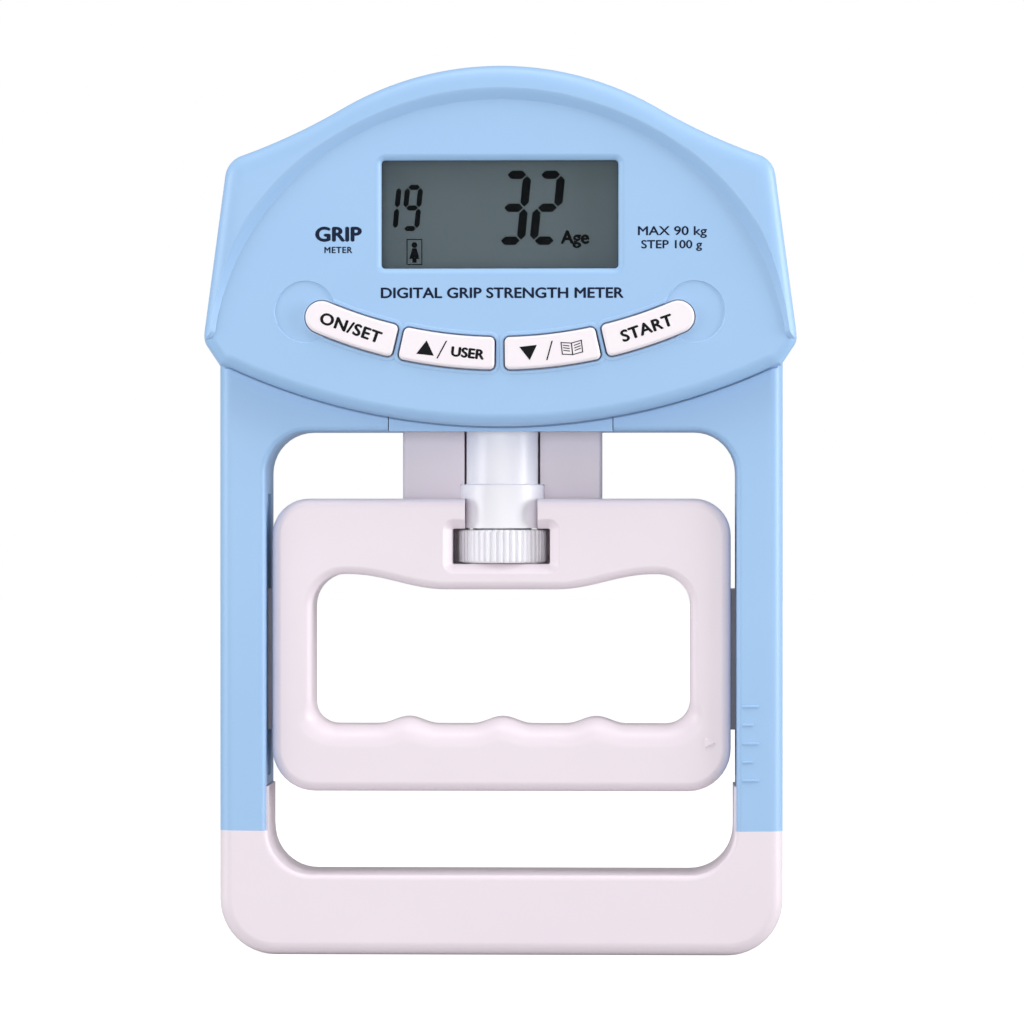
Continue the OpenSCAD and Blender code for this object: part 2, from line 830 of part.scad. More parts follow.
module circuit_board() color("#2E6B45") {
    difference() {
        slab(board_front, board_back) polygon([
            [-board_half, board_z0], [board_half, board_z0], [board_half, board_z1 - 10],
            [bay_half_x + 6, board_z1], [-bay_half_x - 6, board_z1], [-board_half, board_z1 - 10]
        ]);
        for (s = board_screw_spots) rod_y(s.x, s.y, board_front - 1, board_back + 1, small_shank_r + 0.2);
    }
}

module controller_chip() color("#17181B") {
    difference() {
        translate([12, board_back - 8, view_z + 14]) sphere(r = 9.6, $fn = 48);
        box(-far, far, -far, board_back, 0, far * 2);
    }
}

module converter_chip() color("#1E1F23") {
    box(-26, -16, board_back, board_back + 1.6, view_z + 10, view_z + 14);
    for (i = [0:7]) {
        box(-25.8 + i * 1.27, -25.4 + i * 1.27, board_back, board_back + 0.6, view_z + 9, view_z + 15);
    }
}

module crystal() color(steel) {
    slab(board_back, board_back + 3) polygon(rounded([
        [-13, view_z + 10, 1.9], [-4, view_z + 10, 1.9], [-4, view_z + 14, 1.9], [-13, view_z + 14, 1.9]
    ], 4));
}

module switch_housings() color("#2A2B2F") {
    h = switch_side / 2;
    for (i = [0:3]) {
        k = key_middle(i);
        difference() {
            box(k.x - h, k.x + h, switch_y, board_front, k.y - h, k.y + h);
            rod_y(k.x, k.y, switch_y - 1, plunger_back + key_travel + 0.2, plunger_r + 0.3);
        }
    }
}

module plunger(i) {
    k = key_middle(i);
    rod_y(k.x, k.y, key_back, plunger_back, plunger_r);
}

module set_plunger() color("#C8B48C") plunger(0);
module up_plunger() color("#C8B48C") plunger(1);
module down_plunger() color("#C8B48C") plunger(2);
module start_plunger() color("#C8B48C") plunger(3);

module key(i) {
    slab(key_top_y, inner_y + 0.2 + tiny) polygon(key_plan(i, 0, 0));
    slab(inner_y + 0.2, key_back) polygon(key_plan(i, key_rim, 0));
}

module set_button() color(white) key(0);
module up_button() color(white) key(1);
module down_button() color(white) key(2);
module start_button() color(white) key(3);

// Load cell

module load_cell_beam() color("#C7CACF") {
    difference() {
        box(-beam_l / 2, beam_l / 2, mid_y - beam_w / 2, mid_y + beam_w / 2, beam_z, beam_z + beam_h);
        rod_z(beam_z - 1, beam_z + beam_h + 1, screw_r + 0.15);
        for (x = [-beam_hole_x, beam_hole_x]) {
            translate([x, mid_y, beam_z - 1]) cylinder(h = beam_h + 2, r = beam_screw_r + 0.1, $fn = 48);
        }
        for (x = [-19, -13, 13, 19]) {
            rod_y(x, beam_z + beam_h / 2, mid_y - far, mid_y + far, beam_h * 0.3);
        }
        at_both_sides() box(13, 19, -far, far, beam_z + beam_h / 2 - 0.6, beam_z + beam_h / 2 + 0.6);
    }
}

module strain_gauges() color("#C98B3A") {
    for (x = [-16, 16]) {
        box(x - 3, x + 3, mid_y - 2.5, mid_y + 2.5, beam_z + beam_h, beam_z + beam_h + 0.15);
        box(x - 3, x + 3, mid_y - 2.5, mid_y + 2.5, beam_z - 0.15, beam_z);
    }
}

// Flat lead from the gauges up and forward to the board
module gauge_ribbon() color("#D8D2C4") {
    z0 = beam_z + beam_h + 0.15;
    z1 = z0 + 4.6;
    y1 = mid_y - 1.6;
    translate([-18.5, 0, 0]) rotate([90, 0, 90]) linear_extrude(5) polygon(rounded([
        [y1 - 0.8, z0, 0], [y1, z0, 0], [y1, z1, 2], [board_back, z1, 0],
        [board_back, z1 - 0.8, 0], [y1 - 0.8, z1 - 0.8, 1.2]
    ], 4));
}

module beam_screws() color(steel) {
    for (x = [-beam_hole_x, beam_hole_x]) {
        translate([x, mid_y, 0]) difference() {
            union() {
                translate([0, 0, beam_z + beam_h]) cylinder(h = 2.4, r = 3.5, $fn = 48);
                translate([0, 0, beam_z - beam_screw_l])
                    cylinder(h = beam_screw_l + beam_h + tiny, r = beam_screw_r, $fn = 48);
            }
            translate([-0.6, -2.6, beam_z + beam_h + 1.2]) cube([1.2, 5.2, 2]);
            translate([-2.6, -0.6, beam_z + beam_h + 1.2]) cube([5.2, 1.2, 2]);
        }
    }
}

module board_screws() color(steel) {
    for (s = board_screw_spots) {
        screw(s.x, s.y, board_back, small_head_r, small_head_h, small_shank_r, board_t + 3);
    }
}

module case_screws() color(steel) {
    for (s = case_screw_spots) {
        screw(s.x, s.y, case_seat_y, case_head_r, 2.2, case_shank_r, case_shank_l - 0.5);
    }
}

module handle_screws() color(steel) {
    for (s = handle_screw_spots) {
        seat = s.y > seam_z ? back_y - wall : case_seat_y;
        head = s.y > seam_z ? 1.8 : 2.2;
        screw(s.x, s.y, seat, case_head_r, head, case_shank_r, seat - leg_front - wall - 2);
    }
}

// Pull screw

module pull_screw() color(steel) {
    rod_z(screw_z0, screw_z1, screw_r);
}

module pull_nut() color(steel) {
    z = beam_z + beam_h + pull_washer_h;
    difference() {
        translate([0, mid_y, z]) rotate([0, 0, 30]) cylinder(h = nut_h, r = nut_r, $fn = 6);
        rod_z(z - 1, z + nut_h + 1, screw_r);
    }
}

module pull_washer() color(steel) {
    difference() {
        rod_z(beam_z + beam_h, beam_z + beam_h + pull_washer_h, nut_r - 0.4);
        rod_z(beam_z, beam_z + beam_h + pull_washer_h + 1, screw_r + run_fit);
    }
}

// Grip

// Half of the grip's shell from y0 to y1, hollow from c0 to c1, with the wheel's pocket from p0 to p1
module grip_half_shell(y0, y1, c0, c1, p0, p1) {
    difference() {
        union() {
            difference() {
                slab(y0, y1) difference() {
                    polygon(grip_plan());
                    polygon(grip_hole());
                }
                slab(c0, c1) difference() {
                    polygon(shrink(grip_plan(), wall));
                    polygon(shrink(grip_hole(), -wall));
                }
            }
            box(-pocket_half - wall, pocket_half + wall, y0, y1, pocket_z0 - wall, grip_z1 - tiny);
        }
        box(-pocket_half, pocket_half, p0, p1, pocket_z0, pocket_z1);
        rod_z(pocket_z0, grip_z1 + 1, stem_r + 0.4);
        rod_z(pocket_z1 - 1, column_z0, washer_r + play);
        rod_z(column_z0, grip_z1 + 1, column_r);
        at_both_sides() {
            box(
                grip_half - wall - 1, grip_half + 1, mid_y - rail_half, mid_y + rail_half,
                rail_z0, rail_z0 + rail_h
            );
        }
    }
}

module grip_front_shell() color(white) {
    difference() {
        union() {
            grip_half_shell(grip_front, mid_y, grip_front + wall, mid_y + 1, grip_front - 1, mid_y + 1);
            for (s = grip_screw_spots) rod_y(s.x, s.y, grip_front + wall - tiny, mid_y, boss_r - 0.5);
        }
        box(-column_r - 0.2, column_r + 0.2, grip_front - 1, mid_y + 1, pocket_z1 - tiny, grip_z1 + 1);
        for (s = grip_screw_spots) rod_y(s.x, s.y, grip_front + wall + 0.5, mid_y + 1, small_shank_r);
    }
    slab(grip_front - emboss, grip_front) polygon([
        [grip_half - 5.6, tick_z + 1], [grip_half - 5.6, tick_z - 1], [grip_half - 3.4, tick_z]
    ]);
}

module grip_rear_shell() color(white) {
    seat = grip_back - 5;
    difference() {
        union() {
            grip_half_shell(mid_y, grip_back, mid_y - 1, grip_back - wall, mid_y - 1, grip_back - wall);
            for (s = grip_screw_spots) rod_y(s.x, s.y, mid_y, grip_back - 1, boss_r + 0.4);
            difference() {
                box(-tongue_half, tongue_half, tongue_y, grip_back, grip_z1 - wall, tongue_top);
                box(-trough_half, trough_half, mid_y - 1, grip_back - 1.1, grip_z1, tongue_top + 1);
            }
        }
        rod_z(column_z0, grip_z1 + collar_h, column_r);
        box(-thumb_half, thumb_half, mid_y, grip_back + 1, pocket_z0, pocket_z1);
        for (s = grip_screw_spots) {
            rod_y(s.x, s.y, seat, grip_back + 1, small_head_r + 0.3);
            rod_y(s.x, s.y, mid_y - 1, seat + 1, small_shank_r + 0.2);
        }
        rod_z(grip_z1, grip_z1 + collar_h, collar_r);
    }
}

module column_sleeve() color(pale) {
    difference() {
        union() {
            rod_z(column_z0, tongue_top, column_r);
            rod_z(grip_z1, grip_z1 + collar_h, collar_r);
        }
        rod_z(column_z0 - 1, tongue_top + 1, stem_r + run_fit);
    }
}

module guide_rail() {
    box(
        grip_half - wall - tiny, rail_tip, mid_y - rail_half, mid_y + rail_half,
        rail_z0, rail_z0 + rail_h
    );
    box(
        grip_half - wall - 1.8, grip_half - wall, mid_y - rail_half - 1, mid_y + rail_half + 1,
        rail_z0, rail_z0 + rail_h
    );
}

module guide_rail_right() color(grey) guide_rail();
module guide_rail_left() color(grey) mirror([1, 0, 0]) guide_rail();

module grip_screws() color(steel) {
    seat = grip_back - 5;
    for (s = grip_screw_spots) {
        screw(s.x, s.y, seat, small_head_r, small_head_h, small_shank_r, seat - grip_front - wall - 1.5);
    }
}

module thrust_washer() color(steel) {
    difference() {
        rod_z(pocket_z1 + 0.05, pocket_z1 + 0.05 + washer_h, washer_r);
        rod_z(pocket_z1 - 1, pocket_z1 + washer_h + 1, stem_r + 0.3);
    }
}

// Adjusting wheel

module adjusting_wheel() color(pale) {
    z0 = pocket_z0 + play;
    difference() {
        union() {
            translate([0, mid_y, z0]) linear_extrude(wheel_h) polygon([for (i = [0:2 * wheel_ribs - 1])
                spin(wheel_r - (i % 2) * rib_depth, 180 * i / wheel_ribs)
            ]);
            rod_z(z0 + wheel_h - tiny, stem_top, stem_r);
        }
        rod_z(z0 + wheel_floor, stem_top + 1, bush_r);
    }
}

module wheel_bush() color(brass) {
    difference() {
        rod_z(stem_top - bush_l, stem_top - 0.5, bush_r);
        rod_z(stem_top - bush_l - 1, stem_top + 1, screw_r + run_fit);
    }
}

head_front_cover();
frame_front_shell();
frame_rear_shell();
lower_handle_front();
lower_handle_rear();
battery_door();
battery_upper();
battery_lower();
battery_springs();
battery_contacts();
battery_leads();
display_window();
lcd_panel();
lcd_holder();
lcd_connector_strip();
circuit_board();
controller_chip();
converter_chip();
crystal();
switch_housings();
load_cell_beam();
strain_gauges();
gauge_ribbon();
beam_screws();
board_screws();
case_screws();
handle_screws();
set_button();
up_button();
down_button();
start_button();
set_plunger();
up_plunger();
down_plunger();
start_plunger();
pull_screw();
pull_nut();
pull_washer();
grip_front_shell();
grip_rear_shell();
column_sleeve();
guide_rail_left();
guide_rail_right();
grip_screws();
thrust_washer();
adjusting_wheel();
wheel_bush();
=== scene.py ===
import json
import math
import bpy
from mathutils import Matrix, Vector


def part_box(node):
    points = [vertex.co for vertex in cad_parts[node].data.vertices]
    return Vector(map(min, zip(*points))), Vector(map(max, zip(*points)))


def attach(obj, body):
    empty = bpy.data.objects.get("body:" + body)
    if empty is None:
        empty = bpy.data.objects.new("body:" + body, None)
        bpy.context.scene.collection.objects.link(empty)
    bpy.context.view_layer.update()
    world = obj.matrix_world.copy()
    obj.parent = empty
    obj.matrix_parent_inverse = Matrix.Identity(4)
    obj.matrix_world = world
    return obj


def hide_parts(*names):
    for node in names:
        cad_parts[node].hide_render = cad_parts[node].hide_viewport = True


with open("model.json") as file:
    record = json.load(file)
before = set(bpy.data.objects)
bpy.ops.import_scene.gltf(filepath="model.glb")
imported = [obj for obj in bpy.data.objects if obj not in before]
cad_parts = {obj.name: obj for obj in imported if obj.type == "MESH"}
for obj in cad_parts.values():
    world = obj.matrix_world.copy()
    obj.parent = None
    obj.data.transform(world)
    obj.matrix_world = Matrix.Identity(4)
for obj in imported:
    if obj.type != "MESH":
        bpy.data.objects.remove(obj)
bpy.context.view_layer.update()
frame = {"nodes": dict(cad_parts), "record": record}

mm = 0.001  # sizes below are in millimetres, Blender objects in metres


# ---- selecting, lofting and cutting ----

def makeActive(obj):
    bpy.ops.object.select_all(action="DESELECT")
    obj.select_set(True)
    bpy.context.view_layer.objects.active = obj


def boxOf(node):
    low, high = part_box(node)
    return low / mm, high / mm


def arc(cx, cz, radius, start, end, steps):
    turns = [math.radians(start + (end - start) * i / steps) for i in range(steps + 1)]
    return [Vector((cx + radius * math.cos(t), cz + radius * math.sin(t))) for t in turns]


def cornerArc(before, corner, after, radius, steps):
    if radius <= 0:
        return [corner]
    u, v = (before - corner).normalized(), (after - corner).normalized()
    half = u.angle(v) / 2
    middle = corner + (u + v).normalized() * radius / math.sin(half)
    p = corner + u * radius / math.tan(half) - middle
    q = corner + v * radius / math.tan(half) - middle
    start = math.degrees(math.atan2(p.y, p.x))
    turn = (math.degrees(math.atan2(q.y, q.x)) - start + 180) % 360 - 180
    return arc(middle.x, middle.y, radius, start, start + turn, steps)


def roundedOutline(corners, steps=8):
    places = [Vector(c[:2]) for c in corners]
    outline = []
    for i, c in enumerate(corners):
        outline += cornerArc(places[i - 1], places[i], places[(i + 1) % len(places)], c[2], steps)
    return outline


def softened(points, radius, steps=5):
    # rounds only the sharp corners of an outline
    outline = []
    for i, p in enumerate(points):
        before, after = points[i - 1], points[(i + 1) % len(points)]
        sharp = (p - before).angle(after - p) > math.radians(50)
        outline += cornerArc(before, p, after, radius, steps) if sharp else [p]
    return outline


def inset(points, by):
    # moves an anticlockwise outline inwards, by one distance or by one for each point
    moved = []
    for i, p in enumerate(points):
        d = by[i] if isinstance(by, list) else by
        u = (p - points[i - 1]).normalized()
        v = (points[(i + 1) % len(points)] - p).normalized()
        nu, nv = Vector((u.y, -u.x)), Vector((v.y, -v.x))
        moved.append(p - d * (nu + nv) / (1 + nu.dot(nv)))
    return moved


def mirrored(points):
    return [Vector((-p.x, p.y)) for p in reversed(points)]


def loft(name, rings):
    # a circle is extruded once for each further ring, then every ring takes its own outline
    count = len(rings[0])
    bpy.ops.object.select_all(action="DESELECT")
    bpy.ops.mesh.primitive_circle_add(vertices=count, radius=mm, fill_type="NOTHING")
    obj = bpy.context.object
    obj.name = name
    bpy.ops.object.mode_set(mode="EDIT")
    bpy.ops.mesh.select_mode(type="VERT")
    bpy.ops.mesh.select_all(action="SELECT")
    for _ in rings[1:]:
        bpy.ops.mesh.extrude_region_move(TRANSFORM_OT_translate={"value": (0, mm, 0)})
    bpy.ops.mesh.edge_face_add()
    bpy.ops.mesh.select_all(action="DESELECT")
    bpy.ops.object.mode_set(mode="OBJECT")
    places = [p for ring in rings for p in ring]
    for vertex, place in zip(obj.data.vertices, places):
        vertex.co = Vector(place) * mm
        vertex.select = vertex.index < count
    bpy.ops.object.mode_set(mode="EDIT")
    bpy.ops.mesh.edge_face_add()
    bpy.ops.mesh.select_all(action="SELECT")
    bpy.ops.mesh.normals_make_consistent(inside=False)
    bpy.ops.object.mode_set(mode="OBJECT")
    return obj


def ringAt(outline, y):
    # y is one depth, or one for each point
    return [(p.x, y[i] if isinstance(y, list) else y, p.y) for i, p in enumerate(outline)]


def quarter(radius, steps):
    # inset and depth along a rounded edge, from the face round to the side
    turns = [math.pi / 2 * i / steps for i in range(steps + 1)] if radius else [math.pi / 2]
    return [(radius * (1 - math.sin(t)), radius * (1 - math.cos(t)) if radius else 0) for t in turns]


def plate(name, outline, y0, y1, front=0, back=0, steps=5):
    # an outline in X and Z given a thickness, with rounded front and back edges
    rings = [ringAt(inset(outline, i), y0 + d) for i, d in quarter(front, steps)]
    rings += [ringAt(inset(outline, i), y1 - d) for i, d in reversed(quarter(back, steps))]
    return loft(name, rings)


def edged(name, outline, radii, face, part, seam=0.2, steps=6):
    # like plate, but each point has its own edge radius, and the part may face either way
    side = 1 if part > face else -1
    rings = []
    for i in range(steps + 1):
        turn = math.pi / 2 * i / steps
        inwards = [r * (1 - math.sin(turn)) for r in radii]
        depths = [face + side * r * (1 - math.cos(turn)) for r in radii]
        rings.append(ringAt(inset(outline, inwards), depths))
    rings += [ringAt(outline, part - side * seam), ringAt(inset(outline, seam), part)]
    return loft(name, rings)


def flared(name, outline, profile):
    # a cutter whose rings are given as (growth, y)
    return loft(name, [ringAt(inset(outline, -grow), y) for grow, y in profile])


def block(name, x0, x1, y0, y1, z0, z1):
    bpy.ops.object.select_all(action="DESELECT")
    bpy.ops.mesh.primitive_cube_add(size=1, location=Vector((x0 + x1, y0 + y1, z0 + z1)) / 2 * mm)
    obj = bpy.context.object
    obj.name = name
    obj.scale = Vector((x1 - x0, y1 - y0, z1 - z0)) * mm
    bpy.ops.object.transform_apply(location=True, rotation=True, scale=True)
    return obj


def rodY(name, x, z, y0, y1, radius, sides=40):
    circle = arc(x, z, radius, 0, 360 - 360 / sides, sides - 1)
    return loft(name, [ringAt(circle, y0), ringAt(circle, y1)])


def turned(name, profile, centreY, sides=64, wave=None):
    # a body of revolution about Z through (radius, z) pairs
    rings = []
    for radius, z in profile:
        turns = [2 * math.pi * i / sides for i in range(sides)]
        reach = [radius - (wave(i) if wave else 0) for i in range(sides)]
        rings.append([(r * math.cos(t), centreY + r * math.sin(t), z) for r, t in zip(reach, turns)])
    return loft(name, rings)


def combine(target, tool, operation="DIFFERENCE"):
    makeActive(target)
    step = target.modifiers.new("Step", "BOOLEAN")
    step.operation = operation
    step.solver = "EXACT"
    step.object = tool
    bpy.ops.object.modifier_apply(modifier=step.name)
    bpy.data.objects.remove(tool, do_unlink=True)


def cutBelow(obj, z):
    # cuts away all that is below z and closes the cut
    makeActive(obj)
    bpy.ops.object.mode_set(mode="EDIT")
    bpy.ops.mesh.select_all(action="SELECT")
    bpy.ops.mesh.bisect(plane_co=(0, 0, z * mm), plane_no=(0, 0, 1), clear_inner=True, use_fill=True)
    bpy.ops.object.mode_set(mode="OBJECT")


def cutAbove(obj, z):
    makeActive(obj)
    bpy.ops.object.mode_set(mode="EDIT")
    bpy.ops.mesh.select_all(action="SELECT")
    bpy.ops.mesh.bisect(plane_co=(0, 0, z * mm), plane_no=(0, 0, 1), clear_outer=True, use_fill=True)
    bpy.ops.object.mode_set(mode="OBJECT")


def settle(obj, body, slotName, material, *nodes, angle=32):
    # cleans, shades and hands a finished piece to its body
    makeActive(obj)
    bpy.ops.object.mode_set(mode="EDIT")
    bpy.ops.mesh.select_all(action="SELECT")
    bpy.ops.mesh.remove_doubles(threshold=0.002 * mm)
    bpy.ops.mesh.dissolve_limited(angle_limit=math.radians(0.2))
    bpy.ops.mesh.normals_make_consistent(inside=False)
    bpy.ops.object.mode_set(mode="OBJECT")
    bpy.ops.object.shade_smooth_by_angle(angle=math.radians(angle))
    even = obj.modifiers.new("Even", "WEIGHTED_NORMAL")
    even.keep_sharp = True
    bpy.ops.object.modifier_apply(modifier=even.name)
    obj.data.materials.clear()
    obj.data.materials.append(material)
    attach(obj, body)
    if nodes:
        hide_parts(*nodes)
    return obj


# ---- materials ----

def linear(hexColour):
    parts = [int(hexColour[i:i + 2], 16) / 255 for i in (1, 3, 5)]
    return [v / 12.92 if v <= 0.04045 else ((v + 0.055) / 1.055) ** 2.4 for v in parts] + [1.0]


def addNode(tree, kind, settings, links=()):
    made = tree.nodes.new(kind)
    for name, value in settings.items():
        if hasattr(made, name):
            setattr(made, name, value)
        else:
            made.inputs[name].default_value = value
    for name, source in links:
        tree.links.new(source, made.inputs[name])
    return made


def startMaterial(name):
    material = bpy.data.materials.new(name)
    material.use_nodes = True
    material.node_tree.nodes.clear()
    return material, material.node_tree


def mouldedPlastic(name, look):
    # injection moulded skin: an even colour with a faint flow tint, a fine spark texture that
    # breaks up the gloss, and rounded edges made a little lighter by a painted highlight
    material, tree = startMaterial(name)
    where = addNode(tree, "ShaderNodeTexCoord", {}).outputs["Object"]
    flow = addNode(tree, "ShaderNodeTexNoise", {"Scale": 1 / (look["flowSize"] * mm), "Detail": 3.0},
                   [("Vector", where)]).outputs["Fac"]
    tint = addNode(tree, "ShaderNodeMapRange",
                   {"From Min": 0.3, "From Max": 0.7, "To Min": 0.0, "To Max": 1.0},
                   [("Value", flow)]).outputs["Result"]
    body = addNode(tree, "ShaderNodeMix",
                   {"data_type": "RGBA"}, [("Factor", tint)])
    bodyA, bodyB = [s for s in body.inputs if s.type == "RGBA"]
    bodyA.default_value = linear(look["colour"])
    bodyB.default_value = linear(look["tint"])
    bodyColour = [s for s in body.outputs if s.type == "RGBA"][0]
    # painted highlight: a bevel mask of rounded edges mixes the look's edge colour into the body colour
    rounded = addNode(tree, "ShaderNodeBevel", {"samples": 4, "Radius": look["edgeSheenWidth"] * mm}).outputs["Normal"]
    true = addNode(tree, "ShaderNodeNewGeometry", {}).outputs["Normal"]
    facing = addNode(tree, "ShaderNodeVectorMath", {"operation": "DOT_PRODUCT"})
    tree.links.new(rounded, facing.inputs[0])
    tree.links.new(true, facing.inputs[1])
    edge = addNode(tree, "ShaderNodeMapRange",
                   {"From Min": 0.995, "From Max": 0.9, "To Min": 0.0, "To Max": look["edgeSheenAmount"]},
                   [("Value", facing.outputs["Value"])]).outputs["Result"]
    edgeSheen = addNode(tree, "ShaderNodeMix", {"data_type": "RGBA"}, [("Factor", edge)])
    edgeSheenA, edgeSheenB = [s for s in edgeSheen.inputs if s.type == "RGBA"]
    tree.links.new(bodyColour, edgeSheenA)
    edgeSheenB.default_value = linear(look["edge"])
    edgeSheenColour = [s for s in edgeSheen.outputs if s.type == "RGBA"][0]
    grain = addNode(tree, "ShaderNodeTexNoise", {"Scale": 1 / (look["grainSize"] * mm), "Detail": 2.0},
                    [("Vector", where)]).outputs["Fac"]
    gloss = addNode(tree, "ShaderNodeMapRange",
                    {"From Min": 0.3, "From Max": 0.7,
                     "To Min": look["roughness"] - 0.04, "To Max": look["roughness"] + 0.04},
                    [("Value", grain)]).outputs["Result"]
    bump = addNode(tree, "ShaderNodeBump",
                   {"Strength": look["grainStrength"], "Distance": look["grainDepth"] * mm},
                   [("Height", grain)]).outputs["Normal"]
    shader = addNode(tree, "ShaderNodeBsdfPrincipled",
                     {"IOR": look["ior"], "Specular IOR Level": look["specular"]},
                     [("Base Color", edgeSheenColour), ("Roughness", gloss), ("Normal", bump)])
    addNode(tree, "ShaderNodeOutputMaterial", {}, [("Surface", shader.outputs["BSDF"])])
    return material


def machinedMetal(name, look):
    # turned and plated metal: fine noise marks vary its colour, gloss and bump a little
    material, tree = startMaterial(name)
    where = addNode(tree, "ShaderNodeTexCoord", {}).outputs["Object"]
    marks = addNode(tree, "ShaderNodeTexNoise", {"Scale": 1 / (look["markSize"] * mm), "Detail": 4.0},
                    [("Vector", where)]).outputs["Fac"]
    colour = addNode(tree, "ShaderNodeMix", {"data_type": "RGBA"}, [("Factor", marks)])
    first, second = [s for s in colour.inputs if s.type == "RGBA"]
    first.default_value = linear(look["colour"])
    second.default_value = linear(look["shade"])
    mixed = [s for s in colour.outputs if s.type == "RGBA"][0]
    gloss = addNode(tree, "ShaderNodeMapRange",
                    {"To Min": look["roughness"] - 0.08, "To Max": look["roughness"] + 0.08},
                    [("Value", marks)]).outputs["Result"]
    bump = addNode(tree, "ShaderNodeBump", {"Strength": 0.2, "Distance": 0.01 * mm},
                   [("Height", marks)]).outputs["Normal"]
    shader = addNode(tree, "ShaderNodeBsdfPrincipled", {"Metallic": 1.0},
                     [("Base Color", mixed), ("Roughness", gloss), ("Normal", bump)])
    addNode(tree, "ShaderNodeOutputMaterial", {}, [("Surface", shader.outputs["BSDF"])])
    return material


def clearPane(name):
    # cast acrylic: almost all that shows is a thin even gloss
    material, tree = startMaterial(name)
    shader = addNode(tree, "ShaderNodeBsdfPrincipled",
                     {"IOR": 1.49, "Roughness": 0.04, "Alpha": 0.04, "Specular IOR Level": 0.12,
                      "Base Color": linear("#0B0E11")})
    addNode(tree, "ShaderNodeOutputMaterial", {}, [("Surface", shader.outputs["BSDF"])])
    return material


# the edge colour of each look is a painted highlight laid on rounded edges
blueSkin = {"colour": "#9CC1E8", "tint": "#98BEE6", "edge": "#BAD7F2", "edgeSheenAmount": 0.35, "edgeSheenWidth": 0.35,
            "flowSize": 45, "grainSize": 0.35, "grainDepth": 0.02, "grainStrength": 0.25, "roughness": 0.42,
            "ior": 1.53, "specular": 0.5}
whiteSkin = {"colour": "#E9DEE6", "tint": "#E6DBE3", "edge": "#F6F0F4", "edgeSheenAmount": 0.4, "edgeSheenWidth": 0.35,
             "flowSize": 38, "grainSize": 0.35, "grainDepth": 0.015, "grainStrength": 0.2, "roughness": 0.4,
             "ior": 1.53, "specular": 0.5}


def variant(base, **changes):
    look = dict(base)
    look.update(changes)
    return look


# the edge colours given to the variants below are painted highlights on rounded edges as well
blueAbs = mouldedPlastic("blueMouldedAbs", blueSkin)
whiteAbs = mouldedPlastic("whiteMouldedAbs", whiteSkin)
keyPlastic = mouldedPlastic("whiteKeyPlastic", variant(whiteSkin, colour="#F0E9EE", tint="#EEE6EC", roughness=0.34))
paleNylon = mouldedPlastic("paleMouldedNylon", variant(
    whiteSkin, colour="#F2F0F6", tint="#EEECF3", edge="#FAF9FC", roughness=0.36, flowSize=14))
greyAcetal = mouldedPlastic("greyMouldedAcetal", variant(
    whiteSkin, colour="#C0BDC9", tint="#BAB7C3", edge="#CFCCD6", roughness=0.38, flowSize=9))
blackEpoxy = mouldedPlastic("blackEpoxy", variant(
    whiteSkin, colour="#17181B", tint="#1E1F23", edge="#34363B", roughness=0.35, flowSize=3))
holderPlastic = mouldedPlastic("holderPlastic", variant(whiteSkin, colour="#E9E9E4", tint="#E2E2DC", roughness=0.5))
boardLaminate = mouldedPlastic("boardLaminate", variant(
    whiteSkin, colour="#2E6B45", tint="#295F3D", edge="#7C9A6C", roughness=0.3, flowSize=2, grainSize=0.8))
pinkSilicone = mouldedPlastic("pinkSilicone", variant(
    whiteSkin, colour="#D98FA0", tint="#CF8496", edge="#E6A9B6", roughness=0.6, flowSize=4))
cellJacket = mouldedPlastic("printedCellJacket", variant(
    whiteSkin, colour="#3D6B52", tint="#386449", edge="#6A8F7A", roughness=0.25, flowSize=12))
leadPvc = mouldedPlastic("redLeadPvc", variant(
    whiteSkin, colour="#B5302C", tint="#A82A27", edge="#CC5550", roughness=0.45, flowSize=3))
gaugeFoil = mouldedPlastic("gaugeFoil", variant(
    whiteSkin, colour="#C98B3A", tint="#B87D30", edge="#DDAA63", roughness=0.3, flowSize=1.5))
lcdGlass = mouldedPlastic("lcdGlass", variant(
    whiteSkin, colour="#5F6C71", tint="#5B686D", edge="#5F6C71", roughness=0.5, flowSize=26,
    grainSize=0.6, grainDepth=0.001, grainStrength=0.05, specular=0.1))
inkNavy = mouldedPlastic("navyPadPrint", variant(
    whiteSkin, colour="#0F1B33", tint="#13203A", edge="#13203A", roughness=0.6, flowSize=2, specular=0.12))
inkBlack = mouldedPlastic("blackPadPrint", variant(
    whiteSkin, colour="#0B0C0F", tint="#101216", edge="#101216", roughness=0.6, flowSize=2, specular=0.12))
liquidCrystal = mouldedPlastic("liquidCrystal", variant(
    whiteSkin, colour="#05080B", tint="#070C10", edge="#070C10", roughness=0.5, flowSize=4, specular=0.05))
zincSteel = machinedMetal("zincPlatedSteel", {"colour": "#B9BCC2", "shade": "#9DA1A8", "markSize": 0.5, "roughness": 0.3})
beamAluminium = machinedMetal("milledAluminium", {"colour": "#C7CACF", "shade": "#B4B8BE", "markSize": 0.7, "roughness": 0.34})
turnedBrass = machinedMetal("turnedBrass", {"colour": "#C9A552", "shade": "#B08E41", "markSize": 0.5, "roughness": 0.3})
acrylic = clearPane("clearAcrylic")

slotMaterials = {
    "blue_abs": blueAbs, "white_abs": whiteAbs, "pale_nylon": paleNylon, "key_plastic": keyPlastic,
    "grey_acetal": greyAcetal, "black_epoxy": blackEpoxy, "holder_plastic": holderPlastic,
    "clear_acrylic": acrylic, "lcd_glass": lcdGlass, "board_laminate": boardLaminate,
    "silicone": pinkSilicone, "steel": zincSteel, "beam_aluminium": beamAluminium, "brass": turnedBrass,
    "gauge_foil": gaugeFoil, "cell_jacket": cellJacket, "lead_pvc": leadPvc,
}
print("materials made")

# ---- the frame's own places ----

